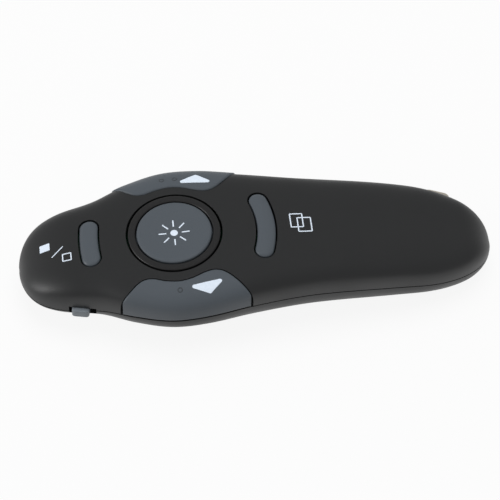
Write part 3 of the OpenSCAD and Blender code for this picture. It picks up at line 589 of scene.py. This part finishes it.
def bowl(name, outer, inner, front_closed):
    """Shell between outer and inner rows of open arcs. A closed end is filled across each arc, an
    open one joins the two arcs through the wall."""
    outer, inner = np.asarray(outer), np.asarray(inner)
    rows, n = outer.shape[:2]
    base = rows * n
    skin_faces = ring_faces(rows, n, closed=False)
    faces = skin_faces + [tuple(base + i for i in f) for f in skin_faces]
    for r in range(rows - 1):
        for a, b in ((r * n, r * n + n), (r * n + n - 1, r * n + 2 * n - 1)):
            faces.append((a, b, base + b, base + a))
    for a, shut in ((0, front_closed), (base - n, True)):
        if shut:
            faces += [tuple(range(a, a + n)), tuple(range(base + a, base + a + n)),
                      (a, a + n - 1, base + a + n - 1, base + a)]
        else:
            faces += [(a + i, a + i + 1, base + a + i + 1, base + a + i) for i in range(n - 1)]
    points = np.concatenate([outer.reshape(-1, 3), inner.reshape(-1, 3)])
    return make_piece(name, points, faces, black_abs)


def half_shell(name, up):
    outer, inner = [], []
    for x in crowded(STATIONS, TIP, LENGTH - TIP):
        deep = max(float(half_width(x)) - GROOVE_DEEP, 0.2)
        z = float(seam_z(x))
        lip = [(x, deep, z), (x, deep, z + up * GROOVE_HALF)]
        far = [(x, -deep, z + up * GROOVE_HALF), (x, -deep, z)]
        outer.append(np.concatenate([lip, arc(x, 0, up, ACROSS, GROOVE_HALF), far]))
    for x in crowded(STATIONS, WALL, LENGTH - WALL):
        inner.append(arc(x, WALL, up, ACROSS + 4))
    return bowl(name, outer, inner, front_closed=True)


print("points on each shell:", STATIONS * (2 * ACROSS + 8))

# %% [markdown]
# ### Places that several pieces share
# The round button lies on a slope that follows the top shell, the slider's slot turns with the
# nose's side, and the eyelet turns with the tail's side. Each of these has its own small frame.

# %% Local frames
def side_slope(x):
    return math.atan(float(half_width(x + 3) - half_width(x - 3)) / 6)


RING_X = 42.3
RING_Z = float(top_z(RING_X, 0))
RING_TILT = math.atan(float(top_z(RING_X + 8, 0) - top_z(RING_X - 8, 0)) / 16)
SLOT_X = 16.3
SLOT_Z = float(seam_z(SLOT_X))
SLOT_SLOPE = side_slope(SLOT_X)
EYELET_X = 117.8
EYELET_SLOPE = side_slope(EYELET_X)
EYELET_STAND = 2.8
EYELET_LEG = 3.25
BEAM_Z = 7.6


def at_ring(x, y, z):
    c, s = math.cos(RING_TILT), math.sin(RING_TILT)
    return (RING_X + x * c - z * s, y, RING_Z + x * s + z * c)


def at_slot(x, y, z):
    c, s = math.cos(SLOT_SLOPE), math.sin(SLOT_SLOPE)
    return (SLOT_X + x * c + y * s, -float(half_width(SLOT_X)) - x * s + y * c, SLOT_Z + z)


def at_eyelet(x, y, z):
    c, s = math.cos(EYELET_SLOPE), math.sin(EYELET_SLOPE)
    return (EYELET_X + x * c - y * s,
            float(half_width(EYELET_X)) + EYELET_STAND + x * s + y * c,
            float(seam_z(EYELET_X)) + z)


def rod(name, place, start, end, radius):
    """Straight round bar between two points of a local frame."""
    return swept(name, [place(*start), place(*end)], radius, black_abs, 32)


print("round button's slope:", round(math.degrees(RING_TILT), 2), "degrees")

# %% [markdown]
# ### Outlines of the openings
# The crescents' inner edge runs round the laser button and then flares out with soft corners, so it
# is a curve through points, like the body. The two bars are bent stadiums, and the one at the nose
# is bent less. A bar is given by its distance from the round button's middle, the radius of its
# bend, its length, and -1 for the nose's side or 1 for the tail's.

# %% Opening outlines
PAGE_FIRST, PAGE_LAST = 26.88, 60.98
BAR_WIDTH = 5.0
KEY_GAP = 0.44
BAR_GAP = 0.4
BLANK_BAR = (23.05, 42, 15.1, -1)
WINDOW_BAR = (24.95, 26.5, 21.6, 1)
PAGE_EDGE = [(25.6, 20.0), (27.2, 18.9), (29.2, 17.5), (31.0, 15.9), (33.0, 14.75), (35.4, 14.65),
             (38.6, 15.7), (42.3, 16.25), (45.8, 15.7), (49.2, 14.35), (51.6, 13.8), (53.6, 14.1),
             (55.4, 15.2), (57.4, 17.1), (59.6, 19.5), (61.4, 21.5), (62.6, 23.0)]


def page_edge(x, gap=0.0):
    x = np.asarray(x, float)
    slope = (curve(PAGE_EDGE, x + 0.1) - curve(PAGE_EDGE, x - 0.1)) / 0.2
    return curve(PAGE_EDGE, x) - gap * np.sqrt(1 + slope**2)


def bar_outline(radius, bend, length, grow, side, run=28, ends=16):
    a = math.asin((length / 2 - BAR_WIDTH / 2) / bend)
    b = BAR_WIDTH / 2 + grow
    polar = []
    for s in (1, -1):
        polar += [(s * (2 * a * k / run - a), s * b, 0) for k in range(run + 1)]
        polar += [(s * a, s * b * math.cos(t), s * b * math.sin(t))
                  for t in np.linspace(0, math.pi, ends + 1)[1:-1]]
    return [(RING_X + side * (radius - bend + (bend + p) * math.cos(t) - q * math.sin(t)),
             (bend + p) * math.sin(t) + q * math.cos(t)) for t, p, q in polar]


crescent_width = float(half_width(RING_X) - page_edge(RING_X))
print("crescent's width at its middle:", round(crescent_width, 2), "mm")

# %% Cutters
PAGE_CUT = (26.1, 62.1)
PAST_SIDE, OVER_TOP = 29, 35
SLOT_HALF_LENGTH, SLOT_HALF_HEIGHT = 3.7, 1.5
BUSH_FROM, APERTURE_RADIUS, BUSH_RADIUS, LEG_RADIUS = 1.3, 1.2, 1.85, 0.68


def page_cutter(side):
    first, last = PAGE_CUT
    x = np.linspace(first, last, 80)
    edge = [(a, side * b) for a, b in zip(x, page_edge(x, KEY_GAP))]
    outline = edge + [(last, side * PAST_SIDE), (first, side * PAST_SIDE)]
    return prism("page_cut", outline, 10.9, OVER_TOP)


def bar_cutter(radius, bend, length, side):
    return prism("bar_cut", bar_outline(radius, bend, length, BAR_GAP, side), 15.2, OVER_TOP)


def slot_cutter():
    return box("slot_cut", (-SLOT_HALF_LENGTH, -3, -SLOT_HALF_HEIGHT),
               (SLOT_HALF_LENGTH, WALL + 1, SLOT_HALF_HEIGHT), place=at_slot)


def nose_cutters():
    return [rod("beam_cut", in_body, (-1, 0, BEAM_Z), (2, 0, BEAM_Z), APERTURE_RADIUS),
            rod("bush_cut", in_body, (BUSH_FROM, 0, BEAM_Z), (10, 0, BEAM_Z), BUSH_RADIUS)]


def eyelet_cutters():
    return [rod("leg_cut", at_eyelet, (x, -EYELET_STAND - WALL + 0.3, 0), (x, 0.5, 0), LEG_RADIUS)
            for x in (-EYELET_LEG, EYELET_LEG)]


SCREWS = [(25.4, 12.4), (25.4, -12.4), (60.2, 14.4), (60.2, -14.4)]
THREAD_HOLE, SHANK_HOLE, HEAD_HOLE, POST_RADIUS = 1.04, 1.15, 1.95, 3.0

# %% [markdown]
# ### Top shell
# Inside, four bosses hang from the roof and take the screws. They are drawn over-long and trimmed
# to a slightly thickened copy of the shell's inner room, so that none of them breaks through.

# %% Top shell
RING_HOLE = 13.1
BOSS_RADIUS, BOSS_LOW, BOSS_HIGH = 2.6, 14.2, 22.2
top_shell = half_shell("top_shell_skin", 1)
ring_cut = lathe("ring_cut", [(0.05, -4.6), (RING_HOLE, -4.6), (RING_HOLE, 6), (0.05, 6)],
                 at_ring, black_abs)
combine(top_shell, "DIFFERENCE", [
    ring_cut, bar_cutter(*BLANK_BAR), bar_cutter(*WINDOW_BAR), page_cutter(1), page_cutter(-1),
    slot_cutter()] + nose_cutters() + eyelet_cutters())


def room(up):
    """Block that fills a shell, 0.4 mm into its wall, and runs on past the seam."""
    rings = []
    for x in crowded(60, WALL, LENGTH - WALL):
        side = float(half_width(x)) - 0.4
        beyond = float(seam_z(x)) - up * 9
        rings.append(np.concatenate([arc(x, 0.4, up, 60), [(x, -side, beyond), (x, side, beyond)]]))
    return skin("room", rings, black_abs)


bosses, *others = [prism("boss", circle(*p, BOSS_RADIUS), BOSS_LOW, BOSS_HIGH) for p in SCREWS]
combine(bosses, "UNION", others)
combine(bosses, "INTERSECT", [room(1)])
combine(top_shell, "UNION", [bosses])
bores = [prism("bore", circle(*p, THREAD_HOLE, 24), 13.2, 17.4) for p in SCREWS]
combine(top_shell, "DIFFERENCE", bores)
settle(top_shell, "housing", "top_shell")

# %% [markdown]
# ### Bottom shell
# The bottom shell carries the posts for the screws, the cradle of the laser, the pocket of the
# stowed receiver and the walls of the battery bay. They show when the cover or the receiver is
# out. Below the cover line its tail half is open.

# %% Bottom shell
BARREL_RADIUS = 2.75
bottom_shell = half_shell("bottom_shell_skin", -1)
BAY_X, BAY_END, COVER_LINE, BAY_HALF, BAY_ROOF, RAIL_LENGTH = 70.2, 117.7, 5.2, 11.0, 14.05, 26
POCKET_X, POCKET_LENGTH, POCKET_HALF, POCKET_ROOF = 34.75, 18.6, 7.3, 9.0
inside = [prism("post", circle(*p, POST_RADIUS), 0, 13.2) for p in SCREWS]
inside += [box("cradle", (x, -4, 0), (x + 1.4, 4, BEAM_Z)) for x in (9.4, 16.2)]
inside.append(box("pocket", (POCKET_X - 1.25, -POCKET_HALF - 1.25, 0),
                  (POCKET_X + POCKET_LENGTH + 1.25, POCKET_HALF + 1.25, POCKET_ROOF + 1)))
for x in (BAY_X, BAY_END):
    rim = float(seam_z(x + 1)) - 0.1
    corner = float(top_z(x + 1, BAY_HALF + 1 + WALL)) - WALL - 0.3
    high = max(rim, min(BAY_ROOF, corner))
    inside.append(box("wing", (x, -24, COVER_LINE), (x + 1, 24, rim)))
    inside.append(box("wall", (x, -BAY_HALF - 1, COVER_LINE), (x + 1, BAY_HALF + 1, high)))
for y in (-BAY_HALF - 1, BAY_HALF):
    inside.append(box("side", (BAY_X, y, COVER_LINE), (BAY_END + 1, y + 1, float(seam_z(BAY_END)))))
    inside.append(box("rail", (BAY_X, y, COVER_LINE), (BAY_X + RAIL_LENGTH, y + 1, BAY_ROOF + 1)))
inside.append(box("roof", (BAY_X, -BAY_HALF - 0.5, BAY_ROOF),
                  (BAY_X + RAIL_LENGTH, BAY_HALF + 0.5, BAY_ROOF + 1)))
fittings = inside.pop()
combine(fittings, "UNION", inside)
combine(fittings, "INTERSECT", [room(-1)])
combine(bottom_shell, "UNION", [fittings])
cuts = [prism("head_cut", circle(*p, HEAD_HOLE, 40), -1, 6.2) for p in SCREWS]
cuts += [prism("shank_cut", circle(*p, SHANK_HOLE, 24), 0, 14.2) for p in SCREWS]
cuts += [rod("barrel_cut", in_body, (8, 0, BEAM_Z), (19, 0, BEAM_Z), BARREL_RADIUS), slot_cutter()]
cuts += nose_cutters() + eyelet_cutters()
cuts.append(box("pocket_cut", (POCKET_X - 0.25, -POCKET_HALF - 0.25, -1),
                (POCKET_X + POCKET_LENGTH + 0.25, POCKET_HALF + 0.25, POCKET_ROOF)))
cuts.append(prism("notch_cut", circle(POCKET_X + 3, 0, 4.2), -1, 3.0))
cuts.append(box("cover_cut", (68.8, -25, -1), (200, 25, COVER_LINE)))
combine(bottom_shell, "DIFFERENCE", cuts)
settle(bottom_shell, "housing", "bottom_shell")

# %% [markdown]
# ### Battery cover
# The cover takes up the underside's own skin below a straight line, so its arcs start where that
# line meets the section. Thumb ridges near its front edge are shallow grooves across it.

# %% Battery cover
COVER_FRONT, COVER_TOP = 69.05, 4.95


def cover_limit(inset):
    """The last x at which the underside, or its inner face, still lies below the cover's top."""
    low, high = 100.0, LENGTH - TIP - inset
    for _ in range(30):
        middle = (low + high) / 2
        under = float(seam_z(middle) - depth(middle)) + inset
        low, high = (middle, high) if under < COVER_TOP - 0.02 else (low, middle)
    return low - 0.05


outer_rows, inner_rows = [], []
for k in range(90):
    share = math.sin(math.pi / 2 * k / 89)
    for rows, inset in ((outer_rows, 0.0), (inner_rows, WALL)):
        x = COVER_FRONT + (cover_limit(inset) - COVER_FRONT) * share
        rows.append(arc(x, inset, -1, 72, float(seam_z(x)) - COVER_TOP))
cover = bowl("battery_cover_skin", outer_rows, inner_rows, front_closed=False)
ridges = [box("ridge", (72.6 + 1.5 * k, -6 + 0.6 * k, -1), (73.2 + 1.5 * k, 6 - 0.6 * k, 1.72))
          for k in range(6)]
combine(cover, "DIFFERENCE", ridges)
settle(cover, "cover", "battery_cover")

# %% [markdown]
# ### Bezel and laser button
# Both are turned forms, so a profile is spun about the button's axis. The bezel is a flat black
# ring with softened rims. The laser button is dished for the thumb, with a small round rim.

# %% Bezel and laser button
bezel = lathe("bezel_ring", [
    (10.5, -1.9), (12.55, -1.9), (12.55, -0.3), (12.5, -0.12), (12.38, 0.0), (12.2, 0.07),
    (12.0, 0.1), (11.85, 0.1), (11.15, 0.1), (11.0, 0.1), (10.8, 0.06), (10.65, -0.04),
    (10.55, -0.18), (10.5, -0.4)], at_ring, bezel_black, 160, hole=True)
settle(bezel, "housing", "button_bezel")

DISH_RADIUS, DISH_RIM, DISH_DEEP = 9.18, 0.3, 0.6
dish = [(DISH_RADIUS * t, DISH_RIM - DISH_DEEP * (1 - t**2)) for t in np.arange(12, 0, -1) / 12]
laser_button = lathe("laser_button_cap", [
    (0.05, -1.9), (9.0, -1.9), (9.0, -2.65), (11.3, -2.65), (11.3, -2.05), (10.2, -2.05),
    (10.2, -0.3), (10.17, -0.12), (10.08, 0.04), (9.94, 0.16), (9.75, 0.24), (9.5, 0.29)]
    + dish + [(0.05, -0.3)], at_ring, key_grey, 160)
stem = prism("stem", circle(RING_X, 0, 2.0, 32), RING_Z - 2.6, RING_Z - 1.4)
combine(laser_button, "UNION", [stem])
settle(laser_button, "laser_key", "laser_button")

# %% [markdown]
# ### Crescent page buttons
# Each crescent is a piece of the top shell's own skin, raised by 0.3 mm, so that it carries the
# body's shape on across the gap. Its rims are rounded by letting the height fall off within the
# last half millimetre, where the grid's lines crowd together.

# %% Crescents
PROUD = 0.3


def raised(x, turn, inset):
    return section(x, half_width(x) - inset, crown(x) - inset, TOP_SQUARE, turn)


def raised_span(x, inset, edge, foot=0.5):
    """The turns at a crescent's foot, over the seam, and at its inner edge."""
    return (angle_at_rise(foot / float(crown(x) - inset), TOP_SQUARE),
            angle_at_reach(edge / float(half_width(x) - inset), TOP_SQUARE))


def crescent(name, side):
    rim = 0.45
    rings = []
    for x in crowded(120, PAGE_FIRST, PAGE_LAST):
        edge = float(page_edge(x))
        thick = min(1.5, 0.75 * (float(half_width(x)) + PROUD - edge) - PROUD)
        t = (1 - np.cos(np.linspace(0, math.pi, 44))) / 2
        start, end = raised_span(x, -PROUD, edge)
        turn = start + (end - start) * t
        flat = raised(x, turn, -PROUD)
        run = np.concatenate([[0], np.cumsum(np.linalg.norm(np.diff(flat, axis=0), axis=1))])
        near = np.minimum(run, run[-1] - run)
        r = min(rim, run[-1] / 2.2, 0.6 * (PROUD + thick))
        fall = np.where(near < r, r - np.sqrt(np.maximum(r**2 - (r - near) ** 2, 0)), 0)
        outer = raised(x, turn, -PROUD + fall)
        start, end = raised_span(x, thick, edge + 0.05)
        end = max(end, start + 0.01)
        inner = raised(x, start + (end - start) * t[::-1], thick)
        ring = np.concatenate([outer, inner])
        ring[:, 1] *= side
        rings.append(ring)
    return skin(name, rings, key_grey)


# A stem under each button ends on the plunger of its switch
STEM_RADIUS = 1.6
switch_x, switch_y = 43.0, 18.0
for name, side, body, node in (("page_up_cap", 1, "page_up_key", "page_up_button"),
                               ("page_down_cap", -1, "page_down_key", "page_down_button")):
    cap = crescent(name, side)
    under = float(top_z(switch_x, switch_y + STEM_RADIUS)) - 1.5
    stem = circle(switch_x, side * switch_y, STEM_RADIUS, 32)
    combine(cap, "UNION", [prism("stem", stem, under - 0.45, under + 0.4)])
    settle(cap, body, node)

# %% [markdown]
# ### Bar buttons
# Rings of the bent stadium shrink inwards while they rise, like contour lines of a pillow. The
# side is straight, the shoulder turns quickly and the top swells gently to the middle.

# %% Bars
PILLOW = [(0, -2.0), (0, -0.5), (0.05, -0.3), (0.16, -0.12), (0.33, 0.03), (0.58, 0.15),
          (0.9, 0.25), (1.3, 0.325), (1.75, 0.375), (2.3, 0.4)]


def bar(name, radius, bend, length, side, stem_length, body, node):
    rings = []
    for inward, rise in PILLOW:
        outline = np.array(bar_outline(radius, bend, length, -inward, side))
        z = top_z(outline[:, 0], outline[:, 1]) + rise
        rings.append(np.column_stack([outline, z]))
    piece = skin(name, rings, key_grey)
    x = RING_X + side * radius
    under = float(top_z(x, 0)) - 2.0
    stem = prism("stem", circle(x, 0, STEM_RADIUS, 32), under - stem_length, under + 0.4)
    combine(piece, "UNION", [stem])
    settle(piece, body, node)


bar("blank_screen_bar", *BLANK_BAR, 0.33, "blank_key", "blank_screen_button")
bar("window_bar", *WINDOW_BAR, 0.68, "window_key", "window_button")

# %% [markdown]
# ### Power slider
# The knob is drawn as its outline seen from above, then pulled straight up and given soft bevels.
# A tongue behind it reaches into the switch.

# %% Slider
KNOB_X = -2.85
outline = [(0.0, WALL + 0.2), (0.0, -0.5), (0.1, -0.82), (0.32, -1.05), (0.65, -1.16), (1.2, -1.2)]
outline += [(4.7 - x, y) for x, y in reversed(outline)]
rings = [[at_slot(KNOB_X + x, y, z) for x, y in outline] for z in (-1.25, 1.25)]
slider = bevelled(skin("slider_knob", rings, slider_grey), 0.3)
tongue = box("tongue", (KNOB_X + 1.55, WALL - 0.2, -0.5), (KNOB_X + 3.15, WALL + 1.4, 0.5),
             slider_grey, at_slot)
combine(slider, "UNION", [tongue])
settle(slider, "slider", "power_slider")

# %% [markdown]
# ### Strap eyelet
# The eyelet is one bent wire: out of the body, round a tight corner, along, and back in. A circle
# swept along that path gives its even thickness.

# %% Eyelet
bend, leg = 1.3, EYELET_LEG
path = [(-leg, y) for y in np.linspace(-4.0, -bend, 8)]
path += [(-leg + bend - bend * math.cos(a), -bend + bend * math.sin(a))
         for a in np.linspace(0.15, math.pi / 2, 9)]
path += [(x, 0.0) for x in np.linspace(-leg + bend, leg - bend, 8)[1:-1]]
path += [(leg - bend + bend * math.sin(a), -bend + bend * math.cos(a))
         for a in np.linspace(0, math.pi / 2 - 0.15, 9)]
path += [(leg, y) for y in np.linspace(-bend, -4.0, 8)]
eyelet = swept("eyelet_wire", [at_eyelet(x, y, 0) for x, y in path], 0.65, nickel_wire, 20)
settle(eyelet, "housing", "strap_eyelet")

# %% [markdown]
# ## Printed icons
# The icons are pad printed, so each is a film of ink that follows the surface under it. An icon
# starts as a flat plan: a stroke along a line, or a filled form. Its points are then lifted onto
# the surface's own height, with 0.03 mm of ink on top. Corners are rounded, because ink runs.

# %% Strokes and fills
INK = 0.03


def corners(points):
    """Each corner of a closed outline, between the one before and the one after."""
    points = np.asarray(points, float)
    return zip(np.roll(points, 1, axis=0), points, np.roll(points, -1, axis=0))


def rounded(points, radius):
    """Replaces each corner by a short curve."""
    result = []
    for before, corner, after in corners(points):
        a = corner + (before - corner) / np.linalg.norm(before - corner) * radius
        b = corner + (after - corner) / np.linalg.norm(after - corner) * radius
        for t in np.linspace(0, 1, 5):
            result.append((1 - t) ** 2 * a + 2 * t * (1 - t) * corner + t**2 * b)
    return np.array(result)


def swollen(points, radius):
    """Grows an outline, drawn anticlockwise, by a radius, so that each corner is round."""
    result = []
    for before, corner, after in corners(points):
        start, end = (math.atan2(-edge[0], edge[1]) for edge in (corner - before, after - corner))
        for t in np.linspace(start, start + (end - start) % (2 * math.pi), 6):
            result.append(corner + radius * np.array([math.cos(t), math.sin(t)]))
    return np.array(result)


def divided(points, closed=True, step=0.4):
    """Adds points along an outline, so that a print can follow a curved surface."""
    points = np.asarray(points, float)
    ends = np.roll(points, -1, axis=0) if closed else points[1:]
    result = []
    for a, b in zip(points, ends):
        parts = max(int(math.ceil(np.linalg.norm(b - a) / step)), 1)
        result += [a + (b - a) * k / parts for k in range(parts)]
    if not closed:
        result.append(points[-1])
    return np.array(result)


def stroke(points, width, closed=True):
    """Band of quads along a plan line."""
    points = divided(points, closed)
    count = len(points)
    ahead = (np.roll(points, -1, axis=0) - np.roll(points, 1, axis=0)) if closed \
        else np.gradient(points, axis=0)
    ahead /= np.linalg.norm(ahead, axis=1)[:, None]
    side = np.stack([-ahead[:, 1], ahead[:, 0]], 1) * width / 2
    band = np.concatenate([points + side, points - side])
    last = count if closed else count - 1
    faces = [(i, (i + 1) % count, (i + 1) % count + count, i + count) for i in range(last)]
    return band, faces


def fill(points, rings=6):
    """Convex form, filled by shrinking copies of its outline."""
    points = divided(points)
    centre = points.mean(0)
    count = len(points)
    levels = np.linspace(1, 0.02, rings)
    grid = np.concatenate([centre + (points - centre) * s for s in levels])
    return grid, ring_faces(rings, count) + [tuple((rings - 1) * count + i for i in range(count))]


def printed(name, shapes, height, body, material=icon_ink, ink=INK):
    """Lifts flat plans onto a surface's height and closes each one as a thin film."""
    points, faces = [], []
    for plan, plan_faces in shapes:
        start = len(points)
        top = [(x, y, float(height(x, y)) + ink) for x, y in plan]
        low = [(x, y, z - ink - 0.02) for x, y, z in top]
        points += top + low
        faces += [tuple(start + i for i in f) for f in plan_faces]
        faces += [tuple(start + len(top) + i for i in reversed(f)) for f in plan_faces]
        # A dictionary keeps the edges in order. One that has no partner lies on the rim
        edges = {(a, b): True for f in plan_faces for a, b in zip(f, f[1:] + f[:1])}
        for a, b in edges:
            if (b, a) not in edges:
                faces.append((start + a, start + b, start + len(top) + b, start + len(top) + a))
    piece = make_piece(name, points, faces, material, sharp_degrees=50)
    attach(piece, body)
    print(name, "printed on", body)


def on_key(x, y):
    return top_z(x, y, PROUD)


def on_dish(x, y):
    dx = (x - RING_X) / math.cos(RING_TILT)
    r = min(math.hypot(dx, y), DISH_RADIUS)
    lift = DISH_RIM - DISH_DEEP * (1 - (r / DISH_RADIUS) ** 2)
    return RING_Z + dx * math.sin(RING_TILT) + lift * math.cos(RING_TILT)


# %% [markdown]
# ### What the icons show
# At the nose: a filled square, a slash and an empty square, for a screen that goes blank. At the
# waist: two windows, one behind the other. On the crescents: an arrow head each way. On the round
# button: a spot of light, drawn as a dot with eight even rays. Small grey rings stand beside the
# arrows.

# %% Icons
def rectangle(x0, y0, x1, y1):
    return [(x0, y0), (x1, y0), (x1, y1), (x0, y1)]


blank_icon = [
    fill(rounded(rectangle(5.95, 0.55, 8.65, 2.9), 0.12)),
    stroke([(9.05, -2.2), (12.2, 0.5)], 0.29, closed=False),
    stroke(rounded(rectangle(11.95, -4.45, 14.2, -2.15), 0.12), 0.31)]
printed("blank_icon", blank_icon, top_z, "housing")

window_icon = [
    stroke(rounded(rectangle(73.95, -1.4, 77.3, 3.05), 0.2), 0.33),
    stroke(rounded(rectangle(75.85, -2.95, 79.5, 1.7), 0.2), 0.33)]
printed("window_icon", window_icon, top_z, "housing")

up_arrow = [(46.0, 17.35), (53.0, 16.65), (49.9, 19.2)]
down_arrow = [(46.0, -18.25), (50.1, -19.95), (53.0, -17.25)]
printed("page_up_arrow", [fill(swollen(up_arrow, 0.52))], on_key, "page_up_key")
printed("page_down_arrow", [fill(swollen(down_arrow, 0.52))], on_key, "page_down_key")

spot = [fill(circle(RING_X, 0, 1.0, 32))]
for k in range(8):
    cos, sin = math.cos(math.radians(45 * k)), math.sin(math.radians(45 * k))
    spot.append(stroke([(RING_X + r * cos, r * sin) for r in (2.1, 4.2)], 0.36, closed=False))
printed("laser_icon", spot, on_dish, "laser_key")

for name, places, body in (("page_up_marks", [(40.5, 18.8), (44.1, 18.7)], "page_up_key"),
                           ("page_down_mark", [(42.2, -18.8)], "page_down_key")):
    small_rings = [stroke(circle(x, y, 0.6, 24), 0.3) for x, y in places]
    printed(name, small_rings, on_key, body, mark_grey, 0.02)

# %% [markdown]
# ## Receiver
# The stowed receiver's cap has softened edges and finger grooves at its end. The metal plug, its
# tongue and its contacts keep the CAD's own shapes with better finishes.

# %% Receiver cap
GRIP_LOW, GRIP_LENGTH = 2.3, 6.6
cap = bevelled(box("receiver_grip", (POCKET_X, -POCKET_HALF, GRIP_LOW),
                   (POCKET_X + GRIP_LENGTH, POCKET_HALF, 8.7)), 0.6)
cuts = [box("groove", (x, -4.6, GRIP_LOW - 0.3), (x + 0.5, 4.6, GRIP_LOW + 0.35))
        for x in (35.6, 36.8, 38.0, 39.2)]
cuts.append(box("plug_room", (39.35, -6, 3.25), (42, 6, 7.75)))
combine(cap, "DIFFERENCE", cuts)
settle(cap, "receiver", "receiver_cap")

# %% [markdown]
# ## Cells and springs
# An AAA cell is a steel can in a printed jacket that is shrunk over its ends, so a bright ring and
# the nipple show. A profile spun about its axis gives all of that. The spring contacts are conical
# coils, swept from one wire.

# %% Cells
CELL_LENGTH, CELL_Z, CELL_Y, CELL_X = 43.7, 8.6, 5.5, 72.5
CAN = [(0.05, 0.0), (3.3, 0.0), (3.5, 0.15), (4.5, 0.15)]
JACKET = [(4.5, 0.05), (4.9, 0.05), (5.1, 0.25), (5.15, 0.6), (5.15, 43.1), (5.1, 43.45),
          (4.9, 43.65), (4.4, 43.65)]
NIPPLE = [(4.4, 43.5), (2.6, 43.5), (2.4, 43.55), (1.95, 43.6), (1.9, 44.35), (1.8, 44.46),
          (1.6, 44.5), (0.05, 44.5)]
JACKET_FROM = 4.45
for name, side, node in (("cell_left", 1, "battery_left"), ("cell_right", -1, "battery_right")):
    def cell_place(x, y, z, side=side):
        along = CELL_X + z if side > 0 else CELL_X + CELL_LENGTH - z
        return (along, side * CELL_Y + y, CELL_Z + x)

    cell = lathe(name, CAN + JACKET + NIPPLE, cell_place, zinc_steel, 64)
    cell.data.materials.append(cell_jacket)
    for face in cell.data.polygons:
        x, y, z = face.center
        away = math.hypot(y / MM - side * CELL_Y, z / MM - CELL_Z)
        face.material_index = 1 if away > JACKET_FROM else 0
    settle(cell, "housing", node)


def spring(x0, x1, y, turns=3.0, steps=66):
    path = []
    for k in range(steps + 1):
        t = k / steps
        r = 3.2 - 1.3 * t
        a = 2 * math.pi * turns * t
        path.append((x0 + (x1 - x0) * t, y + r * math.cos(a), CELL_Z + r * math.sin(a)))
    return swept("coil", path, 0.17, zinc_steel, 8, flat=(1.0, 0.0, 0.0))


def plate(x, y):
    return box("plate", (x, y - 4, CELL_Z - 4), (x + 0.4, y + 4, CELL_Z + 4), zinc_steel)


contacts = plate(71.2, CELL_Y)
combine(contacts, "UNION", [
    plate(117.3, -CELL_Y), spring(71.75, 72.3, CELL_Y), spring(117.15, 116.4, -CELL_Y)])
contacts.name = "spring_contact_coils"
settle(contacts, "housing", "spring_contacts")

# %% [markdown]
# ## Finishes for the pieces that keep their CAD shape
# Every CAD node has a material slot from the record. The finishes above carry the same names, so
# each node takes the one that its slot names.

# %% CAD nodes
slots = {entry["node"]: entry["material_slot"] for entry in frame["record"]["subparts"]}
for name, node in frame["nodes"].items():
    node.data.materials.clear()
    node.data.materials.append(finishes[slots[name]])
print("CAD nodes with a finish:", len(slots))
